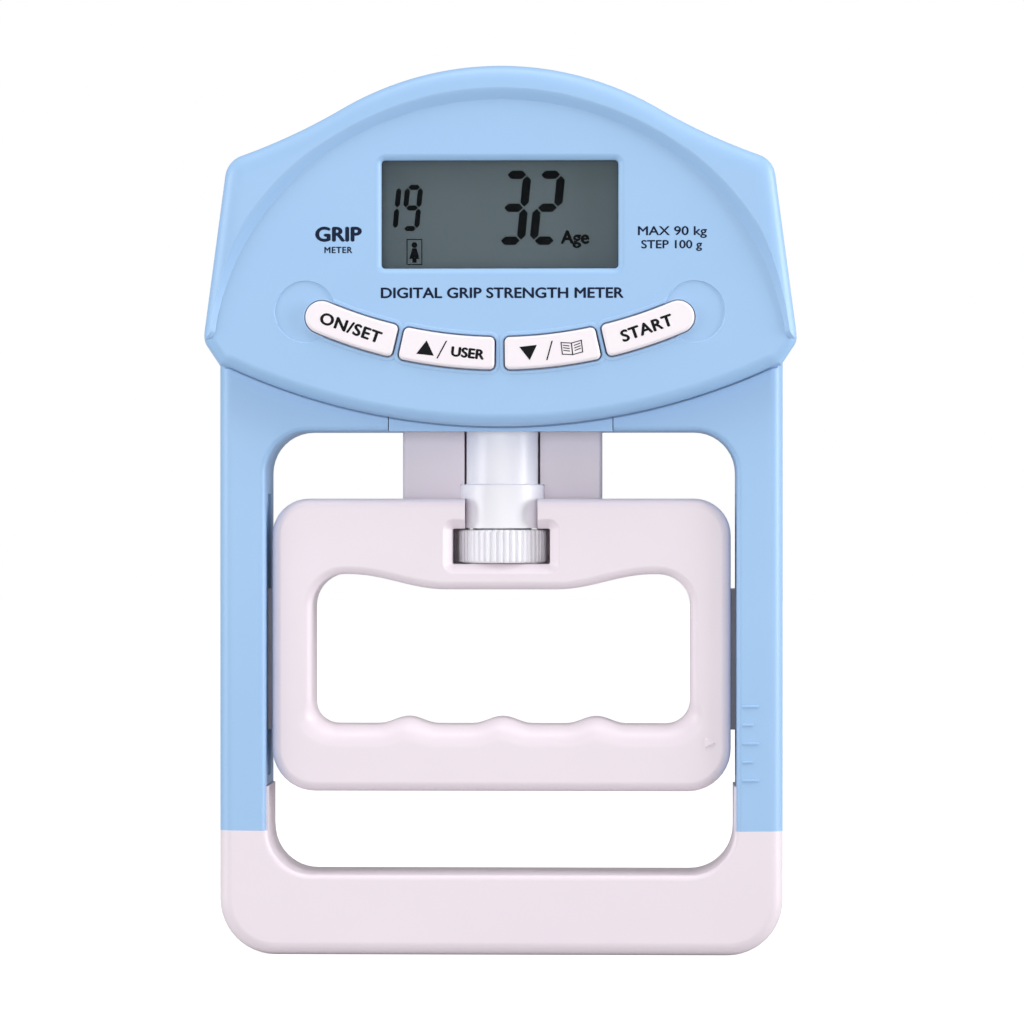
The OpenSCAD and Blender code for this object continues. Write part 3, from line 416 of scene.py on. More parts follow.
coverLow, coverHigh = boxOf("head_front_cover")
rearLow, rearHigh = boxOf("frame_rear_shell")
legsLow, legsHigh = boxOf("frame_front_shell")
handleLow, handleHigh = boxOf("lower_handle_front")
rimY, midY, backY = coverLow.y, coverHigh.y, rearHigh.y
lowZ, topZ = coverLow.z, coverHigh.z
headHalf, legOut = coverHigh.x, legsHigh.x
legFront, seamZ, frameTop = handleLow.y, legsLow.z, legsHigh.z

console = {
    "wall": 2.2,
    "smileRadius": 140, "crownRadius": 67.6, "crownAngle": 30.2,
    "sweepRadius": 130, "shoulderAngle": 20, "sideLean": 7.6,
    "rimStep": 1.6, "rimSlope": 2.8, "dishHalf": 61.8, "dishRise": 57.2, "dishUp": 13, "dishEnd": 0.5,
    "rimFall": 4.8, "rimDrop": 2.6, "faceRound": 2.8, "backRound": 2.0, "skin": 2.0,
}
faceY = rimY + console["rimStep"]
innerY = faceY + console["skin"]


def headOutline(shoulderRound=5, footless=False):
    c = console
    smileHalf = legOut - 2.7
    smileTurn = math.degrees(math.asin(smileHalf / c["smileRadius"]))
    footZ = lowZ + c["smileRadius"] * (1 - math.cos(math.radians(smileTurn))) + 0.4
    cheekZ = footZ + 5.2
    crownZ = topZ - c["crownRadius"]
    reach = c["crownRadius"] + c["sweepRadius"]
    sweepX = reach * math.sin(math.radians(c["crownAngle"]))
    sweepZ = crownZ + reach * math.cos(math.radians(c["crownAngle"]))
    endX = sweepX - c["sweepRadius"] * math.sin(math.radians(c["shoulderAngle"]))
    endZ = sweepZ - c["sweepRadius"] * math.cos(math.radians(c["shoulderAngle"]))
    lean, fall = math.tan(math.radians(c["sideLean"])), math.tan(math.radians(c["shoulderAngle"]))
    shoulderZ = (endZ - (headHalf + cheekZ * lean - endX) * fall) / (1 - lean * fall)
    foot = Vector((smileHalf + 2.2, footZ))
    cheek = Vector((headHalf, cheekZ))
    shoulder = Vector((headHalf - (shoulderZ - cheekZ) * lean, shoulderZ))
    if footless:  # the rim has no lower edge of its own, so it ends in a straight line
        side = [2 * foot - cheek] + cornerArc(foot, cheek, shoulder, shoulderRound, 5)
    else:
        side = arc(0, lowZ + c["smileRadius"], c["smileRadius"], -90, -90 + smileTurn, 22)
        side += [foot] + cornerArc(foot, cheek, shoulder, 3, 5)
    side += cornerArc(cheek, shoulder, Vector((endX, endZ)), shoulderRound, 8)
    side += arc(sweepX, sweepZ, c["sweepRadius"], 270 - c["shoulderAngle"], 270 - c["crownAngle"], 10)
    side += arc(0, crownZ, c["crownRadius"], 90 - c["crownAngle"], 90, 22)[1:]
    other = mirrored(side)[1:]
    return side + (other if footless else other[:-1]), cheekZ


headPlan, cheekZ = headOutline()


def dishOutline():
    # an oval over the crown whose ends run out at the cheeks
    c = console
    centreZ, endZ, out = lowZ + c["dishUp"], cheekZ + c["dishEnd"], headHalf + 10
    start = math.asin((endZ - centreZ) / c["dishRise"])
    turns = [start + (math.pi - 2 * start) * i / 56 for i in range(57)]
    oval = [Vector((c["dishHalf"] * math.cos(t), centreZ + c["dishRise"] * math.sin(t))) for t in turns]
    right = cornerArc(Vector((out, endZ)), oval[0], oval[1], 2, 6)
    return [Vector((out, lowZ - 12)), Vector((out, endZ))] + right + oval[1:-1] + mirrored(right) + [
        Vector((-out, endZ)), Vector((-out, lowZ - 12))]



# ---- buttons ----

buttons = {"height": 7.0, "curveRadius": 98, "up": 15.6, "length": 20.2, "midGap": 2.2, "sideGap": 1.4,
           "fit": 0.24, "corner": 1.1, "round": 0.7, "proud": 1.0, "flange": 1.1, "lip": 0.85, "lipHeight": 0.18,
           "dimple": 6.6, "dimpleDepth": 0.3, "dimpleOut": 3.5, "dimpleUp": 1.2}
keyZ = lowZ + buttons["up"] + buttons["curveRadius"]
keyNames = ["set_button", "up_button", "down_button", "start_button"]
keyBodies = ["set_key", "up_key", "down_key", "start_key"]


def keyStart(i):
    return buttons["midGap"] / 2 + (buttons["length"] + buttons["sideGap"] if i in (0, 3) else 0)


def keyTurn(length):
    return math.degrees(length / buttons["curveRadius"])


def keyOutline(i, grow, lengthen):
    radius, half = buttons["curveRadius"], buttons["height"] / 2 + grow
    outer = i in (0, 3)
    first = -90 + keyTurn(keyStart(i) - lengthen)
    last = -90 + keyTurn(keyStart(i) + buttons["length"] + (grow - half if outer else lengthen))
    points = arc(0, keyZ, radius + half, first, last, 8)
    if outer:
        turn = math.radians(last)
        points += arc(radius * math.cos(turn), keyZ + radius * math.sin(turn), half, last + 12, last + 168, 13)
    points += arc(0, keyZ, radius - half, last, first, 8)
    points = softened(points, buttons["corner"] + grow * 0.6)
    return mirrored(points) if i < 2 else points


def keyEnd(i):
    # middle of an outer button's round end
    turn = math.radians(-90 + keyTurn(keyStart(i) + buttons["length"] - buttons["height"] / 2))
    x = buttons["curveRadius"] * math.cos(turn)
    return (-x if i < 2 else x), keyZ + buttons["curveRadius"] * math.sin(turn)


def keyMiddle(i):
    turn = -90 + keyTurn(keyStart(i) + buttons["length"] / 2)
    side = -1 if i < 2 else 1
    x = buttons["curveRadius"] * math.cos(math.radians(turn)) * side
    return x, keyZ + buttons["curveRadius"] * math.sin(math.radians(turn)), (90 + turn) * side


# ---- console cover ----

lensLow, lensHigh = boxOf("display_window")
display = {"lensFlange": 1.5, "border": 1.5, "corner": 0.8}
viewX0, viewX1 = lensLow.x + display["lensFlange"], lensHigh.x - display["lensFlange"]
viewZ0, viewZ1 = lensLow.z + display["lensFlange"], lensHigh.z - display["lensFlange"]


def makeConsoleCover():
    c = console
    cover = plate("consoleCover", headPlan, faceY, midY, front=c["faceRound"], back=0.2, steps=6)
    rimPlan = headOutline(c["rimFall"] + 0.4, footless=True)[0]
    rings = []
    for fall, drop in quarter(1, 8):
        rings.append(ringAt(inset(rimPlan, fall * c["rimFall"]), rimY + drop * c["rimDrop"]))
    rim = loft("rim", rings + [ringAt(rimPlan, faceY + 3.4)])
    dish, slope = dishOutline(), []
    for i in range(10):
        t = i / 9
        slope.append((c["rimSlope"] * (1 - t), rimY - 0.02 + (c["rimStep"] + 0.02) * t * t * (1.6 - 0.6 * t)))
    combine(rim, flared("dish", dish, [(c["rimSlope"], rimY - 2)] + slope + [(0, faceY + 5)]))
    combine(cover, rim, "UNION")
    for i in range(4):
        g = buttons["fit"] + buttons["lip"]
        h = buttons["lipHeight"]
        lip = flared("lip", keyOutline(i, 0, 0), [(g - 0.4, faceY - h), (g - 0.1, faceY - h * 0.8), (g, faceY - h * 0.3), (g + 0.1, faceY + 0.3)])
        combine(cover, lip, "UNION")
    opening = roundedOutline([
        (viewX0, viewZ0, display["corner"]), (viewX1, viewZ0, display["corner"]),
        (viewX1, viewZ1, display["corner"]), (viewX0, viewZ1, display["corner"])], 5)
    b = display["border"]
    combine(cover, flared("opening", opening, [
        (b, faceY - 1), (b, faceY - 0.01), (b * 0.7, faceY + 0.1), (b * 0.4, faceY + 0.32),
        (b * 0.18, faceY + 0.62), (0.02, faceY + 0.95), (0, innerY + 1)]))
    for i in range(4):
        f = buttons["fit"]
        combine(cover, flared("keyway", keyOutline(i, 0, 0), [
            (f + 0.3, faceY - 1), (f + 0.25, faceY - 0.17), (f + 0.08, faceY), (f, faceY + 0.3), (f, innerY + 1)]))
    for i in (0, 3):
        x, z = keyEnd(i)
        ring = arc(x + math.copysign(buttons["dimpleOut"], x), z + buttons["dimpleUp"],
                   buttons["dimple"], 0, 352.5, 47)
        combine(cover, flared("dimple", ring, [(0.12, faceY - 1), (0.12, faceY - 0.01), (0, faceY + 0.08),
                                               (-0.1, faceY + buttons["dimpleDepth"])]))
    combine(cover, plate("hollow", inset(headPlan, c["wall"]), innerY, midY + 1))
    combine(cover, block("notch", -90, 90, legFront, midY + 1, lowZ - 5, frameTop))
    return settle(cover, "frame", "blue_abs", blueAbs, "head_front_cover")


makeConsoleCover()
print("console cover made")


def makeButton(i):
    b = buttons
    low, high = boxOf(keyNames[i])
    key = plate("key", keyOutline(i, 0, 0), low.y, innerY + 0.3, front=b["round"], steps=5)
    flange = plate("flange", keyOutline(i, b["flange"], 0), innerY + 0.2, high.y)
    combine(key, flange, "UNION")
    key.name = keyNames[i].split("_")[0] + "Button"
    return settle(key, keyBodies[i], "key_plastic", keyPlastic, keyNames[i])


for i in range(4):
    makeButton(i)
print("buttons made")

# ---- legs ----

legs = {"width": 10, "corner": 9, "outerRound": 3.0, "innerRound": 1.2, "wall": 2,
        "grooveIn": 4, "grooveHalf": 3.5, "lip": 1.0, "reveal": 0.4,
        "tickPitch": 4, "tickLong": 3.6, "tickShort": 2.4, "tickWidth": 0.5, "tickStart": 1.2}
legIn = legOut - legs["width"]
windowTop = lowZ - legs["lip"]
tongueLow, tongueHigh = boxOf("grip_rear_shell")
tickLow = legsLow.y
bridgeHalf, bridgeTop = 24.2, windowTop + 5.5
grooveLow, grooveHigh = handleHigh.z + 2, windowTop - legs["corner"] - 4.5


def legOutline(grow=0):
    lo, li, z0 = legOut - grow, legIn + grow, seamZ - 8
    return roundedOutline([
        (-lo, z0, 0), (-li, z0, 0), (-li, windowTop + grow, legs["corner"] + grow), (li, windowTop + grow, legs["corner"] + grow),
        (li, z0, 0), (lo, z0, 0), (lo, frameTop + 2.6 - grow, 0), (-lo, frameTop + 2.6 - grow, 0)], 10)


def legRadii(outline):
    middle = legOut - legs["width"] / 2
    return [legs["outerRound"] if abs(p.x) > middle else legs["innerRound"] for p in outline]


def cutLegs(shell):
    for side in (-1, 1):
        xs = sorted([side * (legIn - 1), side * (legIn + legs["grooveIn"])])
        combine(shell, block("groove", *xs, midY - legs["grooveHalf"], midY + legs["grooveHalf"], grooveLow, grooveHigh))
        xs = sorted([side * (legIn - 1), side * (legIn + legs["wall"] + 1)])
        combine(shell, block("spigotRoom", *xs, legFront + legs["wall"], backY - legs["wall"], seamZ - 1, handleHigh.z + 0.1))


def makeReveal():
    # a shallow groove in the legs' face that draws a dark line under the console
    return plate("reveal", inset(headPlan, -legs["reveal"]), legFront - 1, legFront + 0.7)


def makeFrontLegs():
    outline = legOutline()
    shell = edged("frontLegs", outline, legRadii(outline), legFront, midY)
    cutBelow(shell, seamZ)
    cutLegs(shell)
    combine(shell, block("notch", -bridgeHalf - 0.2, bridgeHalf + 0.2, legFront - 1, midY + 1, windowTop - 1, bridgeTop + 0.2))
    combine(shell, turned("way", [(8.15, windowTop - 5), (8.15, frameTop + 5)], midY))
    combine(shell, makeReveal())
    settle(shell, "frame", "blue_abs", blueAbs, "frame_front_shell")
    for k in range(-2, 3):
        length = legs["tickShort"] if k % 2 else legs["tickLong"]
        z = 46 + k * legs["tickPitch"]
        x = legIn + legs["tickStart"]
        half = legs["tickWidth"] / 2
        mark = plate(f"scaleMark{k + 3}", roundedOutline([
            (x, z - half, 0.15), (x + length, z - half, 0.15), (x + length, z + half, 0.15), (x, z + half, 0.15)], 3),
            tickLow, legFront + 0.6, front=0.12, steps=3)
        settle(mark, "frame", "blue_abs", blueAbs)


makeFrontLegs()
print("front legs made")

# ---- rear shell and battery door ----

doorLow, doorHigh = boxOf("battery_door")
battery = {"corner": 4, "fit": 0.3, "ribs": 4, "ribPitch": 1.6, "bayHalf": 25.2, "bayUp": 2.6, "bayHeight": 22, "bayWall": 1.5, "bayY": 2.3}
screws = {"case": [(50, 22.5), (50, 48.5), (40, 5.5)], "handle": [(55.8, 31.7), (30, 8.75)], "well": 3.4, "seat": 7.5}


def doorOutline(grow=0):
    return roundedOutline([
        (doorLow.x - grow, doorLow.z - grow, 4 + grow), (doorHigh.x + grow, doorLow.z - grow, 4 + grow),
        (doorHigh.x + grow, doorHigh.z + grow, 4 + grow), (doorLow.x - grow, doorHigh.z + grow, 4 + grow)], 7)


def makeRearShell():
    shell = plate("rearShell", headPlan, midY, backY, front=0.2, back=console["backRound"], steps=5)
    outline = legOutline()
    arms = edged("arms", outline, legRadii(outline), backY, midY)
    cutBelow(arms, seamZ)
    combine(shell, arms, "UNION")
    combine(shell, plate("hollow", inset(headPlan, console["wall"]), midY - 1, backY - legs["wall"]))
    zLow = doorLow.z + battery["bayUp"]
    combine(shell, block("bridge", -bridgeHalf, bridgeHalf, legFront, backY - 1, windowTop, bridgeTop), "UNION")
    combine(shell, makeReveal())
    combine(shell, block("bay", -battery["bayHalf"] - 1.5, battery["bayHalf"] + 1.5, battery["bayY"] - 1.5, backY - 1,
                         zLow - 1.5, zLow + battery["bayHeight"] + 1.5), "UNION")
    combine(shell, block("slot", -22.15, 22.15, 3.8, backY - legs["wall"], windowTop - 1, bridgeTop + 1))
    combine(shell, turned("way", [(8.15, windowTop - 5), (8.15, 140)], midY))
    combine(shell, block("bayRoom", -battery["bayHalf"], battery["bayHalf"], battery["bayY"], backY + 1, zLow, zLow + battery["bayHeight"]))
    combine(shell, flared("doorRoom", doorOutline(battery["fit"]), [(0, backY - 2), (0, backY - 0.25), (0.3, backY + 0.05), (0.3, backY + 1)]))
    wells = [(s * x, lowZ + z) for x, z in screws["case"] for s in (-1, 1)]
    for x, z in wells:
        combine(shell, rodY("sleeve", x, z, midY, backY - 1, 4.7), "UNION")
    for x, z in wells:
        circle = arc(x, z, screws["well"], 0, 351, 39)
        combine(shell, flared("well", circle, [(0, backY - screws["seat"]), (0, backY - 0.3), (0.35, backY + 0.05), (0.35, backY + 1)]))
    for s in (-1, 1):
        x, z = screws["handle"][0]
        circle = arc(s * x, z, 3.1, 0, 351, 39)
        combine(shell, flared("well", circle, [(0, backY - 3), (0, backY - 0.3), (0.3, backY + 0.05), (0.3, backY + 1)]))
    cutLegs(shell)
    return settle(shell, "frame", "blue_abs", blueAbs, "frame_rear_shell")


makeRearShell()
print("rear shell made")


def makeDoor():
    door = plate("batteryDoor", doorOutline(), backY - 1.8, backY, back=0.5, steps=4)
    top = doorHigh.z - 4.8
    for k in range(battery["ribs"]):
        z = top - battery["ribPitch"] * k
        groove = roundedOutline([(-7, z - 0.45, 0.4), (7, z - 0.45, 0.4), (7, z + 0.45, 0.4), (-7, z + 0.45, 0.4)], 4)
        combine(door, flared("groove", groove, [(-0.2, backY - 0.55), (0, backY - 0.3), (0.15, backY + 0.02), (0.15, backY + 1)]))
    arrow = [Vector((-1.8, doorHigh.z - 13.5)), Vector((0, doorHigh.z - 15.6)), Vector((1.8, doorHigh.z - 13.5))]
    combine(door, flared("arrow", arrow, [(0, backY - 0.3), (0.1, backY + 0.02), (0.1, backY + 1)]))
    combine(door, block("tab", -5, 5, doorLow.y, backY - 1.7, doorHigh.z - 2.8, doorHigh.z - 1.6), "UNION")
    return settle(door, "door", "blue_abs", blueAbs, "battery_door")


makeDoor()
print("battery door made")

# ---- lower handle ----

handle = {"bar": 17.5, "baseCorner": 12, "palmCorner": 9.5, "innerStep": 0.5, "outerRound": 3.0, "innerRound": 1.2, "wall": 2}


def cradleOutline():
    lo, li, z1 = legOut, legIn - handle["innerStep"], seamZ + 6
    return roundedOutline([
        (-lo, z1, 0), (-lo, 0, handle["baseCorner"]), (lo, 0, handle["baseCorner"]), (lo, z1, 0),
        (li, z1, 0), (li, handle["bar"], handle["palmCorner"]), (-li, handle["bar"], handle["palmCorner"]), (-li, z1, 0)], 12)


def makeHandleHalf(name, face, node):
    outline = cradleOutline()
    middle = legOut - legs["width"] / 2
    radii = []
    for p in outline:
        outside = abs(p.x) > middle or p.y < handle["bar"] / 2
        radii.append(handle["outerRound"] if outside else handle["innerRound"])
    shell = edged(name, outline, radii, face, midY)
    cutAbove(shell, seamZ)
    low, high = sorted([face + (handle["wall"] if face < midY else -handle["wall"]), midY])
    for side in (-1, 1):
        xs = sorted([side * (legIn - handle["innerStep"]), side * (legOut - handle["wall"] - 0.1)])
        combine(shell, block("spigot", *xs, low, high, seamZ - 0.5, handleHigh.z), "UNION")
    if face > midY:
        x, z = screws["handle"][1]
        for side in (-1, 1):
            circle = arc(side * x, z, screws["well"], 0, 351, 39)
            combine(shell, flared("well", circle, [(0, backY - screws["seat"]), (0, backY - 0.3), (0.35, backY + 0.05), (0.35, backY + 1)]))
    return settle(shell, "frame", "white_abs", whiteAbs, node)


makeHandleHalf("lowerHandleFront", legFront, "lower_handle_front")
makeHandleHalf("lowerHandleRear", backY, "lower_handle_rear")
print("lower handle made")

# ---- grip ----

gripLow, gripHigh = boxOf("grip_front_shell")
railLow, railHigh = boxOf("guide_rail_right")
wheelLow, wheelHigh = boxOf("adjusting_wheel")
columnLow, columnHigh = boxOf("column_sleeve")
grip = {"cornerLow": 9.3, "cornerTop": 8, "sideBar": 8.7, "fingerBar": 14.3, "topBar": 16.4,
        "holeLow": 5.3, "holeTop": 7, "bulge": 3.3, "bulgeFlat": 12, "bulgeEnd": 33,
        "ridge": 1.6, "ridgePitch": 20.5, "ridgeHalf": 6.5,
        "round": 2.2, "holeRound": 2.0, "fingerRound": 5.0, "emboss": 0.3, "tongueHalf": 21.8, "trough": 8.3}
gripFace = gripLow.y + grip["emboss"]
gripBack = 2 * midY - gripFace
gripTop, gripHalf = gripHigh.z, gripHigh.x
wheelRadius = wheelHigh.x
pocketLow, pocketHigh = wheelLow.z - 0.2, wheelLow.z + 7.5
pocketHalf = wheelRadius + 1


def gripOutline():
    g, h = grip, gripHalf
    return roundedOutline([
        (-h, gripLow.z, g["cornerLow"]), (h, gripLow.z, g["cornerLow"]),
        (h, gripTop, g["cornerTop"]), (-h, gripTop, g["cornerTop"])], 10)


def hump(x, half):
    return (1 + math.cos(math.pi * x / half)) / 2 if abs(x) < half else 0


def fingerZ(x):
    return gripLow.z + grip["fingerBar"] + grip["ridge"] * max(
        hump(x - k * grip["ridgePitch"], grip["ridgeHalf"]) for k in (-1, 0, 1))


def bulgeZ(x):
    t = min(max((abs(x) - grip["bulgeFlat"]) / (grip["bulgeEnd"] - grip["bulgeFlat"]), 0), 1)
    return gripTop - grip["topBar"] - grip["bulge"] * (1 + math.cos(math.pi * t)) / 2


def holeOutline():
    g = grip
    half = gripHalf - g["sideBar"]
    a, b = half - g["holeLow"], half - g["holeTop"]
    low, top = gripLow.z + g["fingerBar"], gripTop - g["topBar"]
    fingers = [Vector((x, fingerZ(x))) for x in [-a + 2 * a * i / 64 for i in range(1, 64)]]
    bulge = [Vector((x, bulgeZ(x))) for x in [b - 2 * b * i / 40 for i in range(1, 40)]]
    points = fingers
    points += arc(a, low + g["holeLow"], g["holeLow"], -90, 0, 8)
    points += arc(b, top - g["holeTop"], g["holeTop"], 0, 90, 9)
    points += bulge
    points += arc(-b, top - g["holeTop"], g["holeTop"], 90, 180, 9)
    points += arc(-a, low + g["holeLow"], g["holeLow"], 180, 270, 8)
    return points


def holeCutter(face, part):
    # the finger side is rounded over more than the rest
    side = 1 if part > face else -1
    outline = holeOutline()
    low, g = gripLow.z + grip["fingerBar"], grip
    radii = []
    for p in outline:
        t = min(max((p.y - low - 1.7) / 4, 0), 1)
        radii.append(g["fingerRound"] + (g["holeRound"] - g["fingerRound"]) * t * t * (3 - 2 * t))
    rings = [ringAt(inset(outline, [-r - 0.3 for r in radii]), face - side * 1.0)]
    for i in range(8):
        turn = math.pi / 2 * i / 7
        grown = [-r * (1 - math.sin(turn)) for r in radii]
        depth = [face - side * 0.01 + side * r * (1 - math.cos(turn)) for r in radii]
        rings.append(ringAt(inset(outline, grown), depth))
    rings.append(ringAt(outline, part + side * 1.0))
    return loft("hole", rings)


def makeGripHalf(name, face, node):
    front = face < midY
    side = 1 if front else -1
    outline = gripOutline()
    shell = edged(name, outline, [grip["round"]] * len(outline), face, midY, seam=0.15)
    combine(shell, holeCutter(face, midY))
    if not front:
        tongue = roundedOutline([
            (-grip["tongueHalf"], gripTop - 3, 0), (grip["tongueHalf"], gripTop - 3, 0),
            (grip["tongueHalf"], columnHigh.z, 1), (-grip["tongueHalf"], columnHigh.z, 1)], 5)
        piece = plate("tongue", tongue, midY + 0.4, gripBack, front=0.8, back=0.8, steps=4)
        combine(piece, block("trough", -grip["trough"], grip["trough"], midY - 1, gripBack - 1.1, gripTop - 1, columnHigh.z + 1))
        combine(shell, piece, "UNION")
    opening = roundedOutline([
        (-pocketHalf, pocketLow, 0.4), (pocketHalf, pocketLow, 0.4),
        (pocketHalf, pocketHigh, 0.4), (-pocketHalf, pocketHigh, 0.4)], 3)
    if front:
        combine(shell, loft("pocket", [ringAt(inset(opening, -g), face + y) for g, y in [
            (2.3, -1), (2.3, -0.01), (1.9, 0.12), (0.3, 1.5), (0, 1.9)]] + [ringAt(opening, midY + 1)]))
    else:
        combine(shell, plate("pocket", opening, midY - 1, gripBack - 2))
        thumb = wheelRadius - 2
        slot = roundedOutline([(-thumb, pocketLow, 0.4), (thumb, pocketLow, 0.4),
                               (thumb, pocketHigh, 0.4), (-thumb, pocketHigh, 0.4)], 3)
        combine(shell, loft("slot", [ringAt(inset(slot, -g), gripBack + y) for g, y in [
            (0, -4), (0, -0.9), (0.3, -0.3), (1.0, 0.01), (1.0, 1)]]))
    combine(shell, turned("stemWay", [(6.8, pocketHigh - 1), (6.8, gripTop + 1)], midY))
    combine(shell, turned("washerRoom", [(8.8, pocketHigh - 1), (8.8, pocketHigh + 0.6)], midY))
    combine(shell, turned("columnWay", [(7.8, pocketHigh + 0.5), (7.8, gripTop + 5)], midY))
    if not front:
        way = turned("collarWay", [(9.2, gripTop), (9.2, gripTop + 3.1)], midY)
        combine(way, block("behind", -20, 20, gripBack - 0.55, 40, gripTop - 5, gripTop + 9))
        combine(shell, way)
    if front:
        combine(shell, loft("notch", [ringAt(inset(roundedOutline([
            (-7.9, pocketHigh - 0.5, 0), (7.9, pocketHigh - 0.5, 0), (7.9, gripTop + 3, 0), (-7.9, gripTop + 3, 0)]), -g), face + y)
            for g, y in [(0.3, -1), (0.3, -0.01), (0.1, 0.1), (0, 0.4), (0, 12)]]))
        half = gripHalf - 3.4
        arrow = [Vector((half - 2.2, 45)), Vector((half, 46)), Vector((half - 2.2, 47))]
        combine(shell, plate("arrow", arrow, gripLow.y, gripFace + 0.4, front=0.15, steps=2), "UNION")
    else:
        for x in (-36.1, 36.1):
            for z in (gripTop - 7.5, gripLow.z + 7):
                circle = arc(x, z, 2.6, 0, 351, 39)
                combine(shell, loft("well", [ringAt(inset(circle, -g), gripBack + y) for g, y in [
                    (0, -5), (0, -0.25), (0.3, 0.03), (0.3, 1)]]))
    for s in (-1, 1):
        xs = sorted([s * (gripHalf - 3), s * (gripHalf + 1)])
        combine(shell, block("railSlot", *xs, midY - 3, midY + 3, railLow.z, railHigh.z))
    return settle(shell, "grip", "white_abs", whiteAbs, node)


makeGripHalf("gripFront", gripFace, "grip_front_shell")
makeGripHalf("gripRear", gripBack, "grip_rear_shell")
print("grip made")

# ---- column and wheel ----

column = {"radius": 7.8, "collar": 9.15, "bore": 6.45, "edge": 0.4, "apron": 7.85, "skirt": 0.5}
wheel = {"ribs": 44, "depth": 0.5, "height": 7.3, "edge": 0.5}


def makeColumn():
    c, e = column, column["edge"]
    low, top, collarTop = columnLow.z, columnHigh.z, gripTop + 3.1
    piece = turned("column", [
        (c["radius"] - e, low), (c["radius"] - 0.1, low + e * 0.6), (c["radius"], low + e * 1.4), (c["radius"], gripTop - 0.02),
        (c["collar"] - 0.15, gripTop), (c["collar"], gripTop + 0.2), (c["collar"], collarTop - e),
        (c["collar"] - e * 0.3, collarTop - e * 0.3), (c["collar"] - e, collarTop), (c["radius"] + 0.1, collarTop + 0.05),
        (c["radius"], collarTop + 0.3), (c["radius"], top - e), (c["radius"] - e, top)], midY, sides=96)
    # the collar reaches down inside the grip's notch and hides the washer below it
    apron = turned("apron", [(c["collar"], low - c["skirt"]), (c["collar"], gripTop + 1)], midY, sides=96)
    combine(apron, turned("washerRoom", [(c["collar"] - 0.4, low - 1), (c["collar"] - 0.4, low)], midY, sides=96))
    combine(apron, block("behind", -20, 20, midY, 40, low - 1, gripTop + 2))
    for side in (-1, 1):
        xs = sorted([side * c["apron"], side * 20])
        combine(apron, block("beside", *xs, -20, 40, low - 1, gripTop - 0.01))
    combine(piece, apron, "UNION")
    combine(piece, block("flat", -20, 20, midY + 8.6, 40, gripTop - 9, collarTop + 2))
    combine(piece, turned("bore", [(c["bore"], low - 1), (c["bore"], top + 1)], midY))
    return settle(piece, "grip", "pale_nylon", paleNylon, "column_sleeve")


def ribDepth(i):
    return wheel["depth"] * (0, 0.12, 0.88, 1, 0.88, 0.12)[i % 6]


def makeWheel():
    w, r, e = wheel, wheelRadius, wheel["edge"]
    low, high = wheelLow.z, wheelLow.z + w["height"]
    piece = turned("adjustingWheel", [
        (r - 3 * e, low), (r - e, low + 0.05), (r - e * 0.3, low + e * 0.4), (r, low + e), (r, high - e),
        (r - e * 0.3, high - e * 0.4), (r - e, high - 0.05), (r - 3 * e, high)], midY, sides=w["ribs"] * 6, wave=ribDepth)
    combine(piece, turned("stem", [(6.4, high - 0.5), (6.4, wheelHigh.z)], midY), "UNION")
    return settle(piece, "wheel", "pale_nylon", paleNylon, "adjusting_wheel", angle=24)


makeColumn()
makeWheel()
print("column and wheel made")

# ---- lettering ----


def lettering(name, words, size, x, z, y, body, ink, tilt=0, bold=0.0, spacing=1.0, width=1.0):
    # heavier letters come from copies laid a hair's breadth apart
    made = []
    for dx, dz in [(-bold, 0), (bold, 0), (0, -bold * 0.7), (0, bold * 0.7)] if bold else [(0, 0)]:
        bpy.ops.object.select_all(action="DESELECT")
        bpy.ops.object.text_add()
        obj = bpy.context.object
        obj.data.body = words
        obj.data.size = size * mm
        obj.data.align_x, obj.data.align_y = "CENTER", "CENTER"
        obj.data.space_character = spacing
        obj.data.extrude = 0.015 * mm
        obj.data.resolution_u = 4
        bpy.ops.object.convert(target="MESH")
        obj = bpy.context.object
        turn = math.radians(tilt)
        obj.scale = (width, 1, 1)
        obj.rotation_euler = (math.radians(90), turn, 0)
        obj.location = Vector((x + dx, y - 0.001 * len(made), z + dz)) * mm
        bpy.ops.object.transform_apply(location=True, rotation=True, scale=True)
        made.append(obj)
    makeActive(made[0])
    for obj in made:
        obj.select_set(True)
    if len(made) > 1:
        bpy.ops.object.join()
    obj = bpy.context.object
    obj.name = name
    obj.data.materials.clear()
    obj.data.materials.append(ink)
    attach(obj, body)
    return obj


def patch(name, points, y, body, ink, thickness=0.03):
    obj = plate(name, [Vector(p) for p in points], y - thickness, y)
    return settle(obj, body, "black_epoxy", ink)


printY = faceY - 0.012
lettering("instrumentTitle", "DIGITAL GRIP STRENGTH METER", 3.15, 0.4, viewZ0 - 5.4, printY, "frame", inkNavy,
          bold=0.1, width=1.13)
lettering("leftCaption", "GRIP", 4.3, -34.8, viewZ0 + 7.2, printY, "frame", inkNavy, bold=0.2, width=1.1)
lettering("leftNote", "METER", 1.9, -34.8, viewZ0 + 3.9, printY, "frame", inkNavy, bold=0.06, spacing=1.1)
lettering("capacityLine", "MAX 90 kg", 2.7, 37, viewZ0 + 7.9, printY, "frame", inkNavy, bold=0.06, width=1.2)
lettering("stepLine", "STEP 100 g", 2.5, 36.9, viewZ0 + 5.0, printY, "frame", inkNavy, bold=0.06, width=1.15)

keyInkY = boxOf("set_button")[0].y - 0.012


def turnedPoint(i, dx, dz):
    x, z, tilt = keyMiddle(i)
    t = math.radians(tilt)
    return Vector((x + dx * math.cos(t) - dz * math.sin(t), z + dx * math.sin(t) + dz * math.cos(t)))


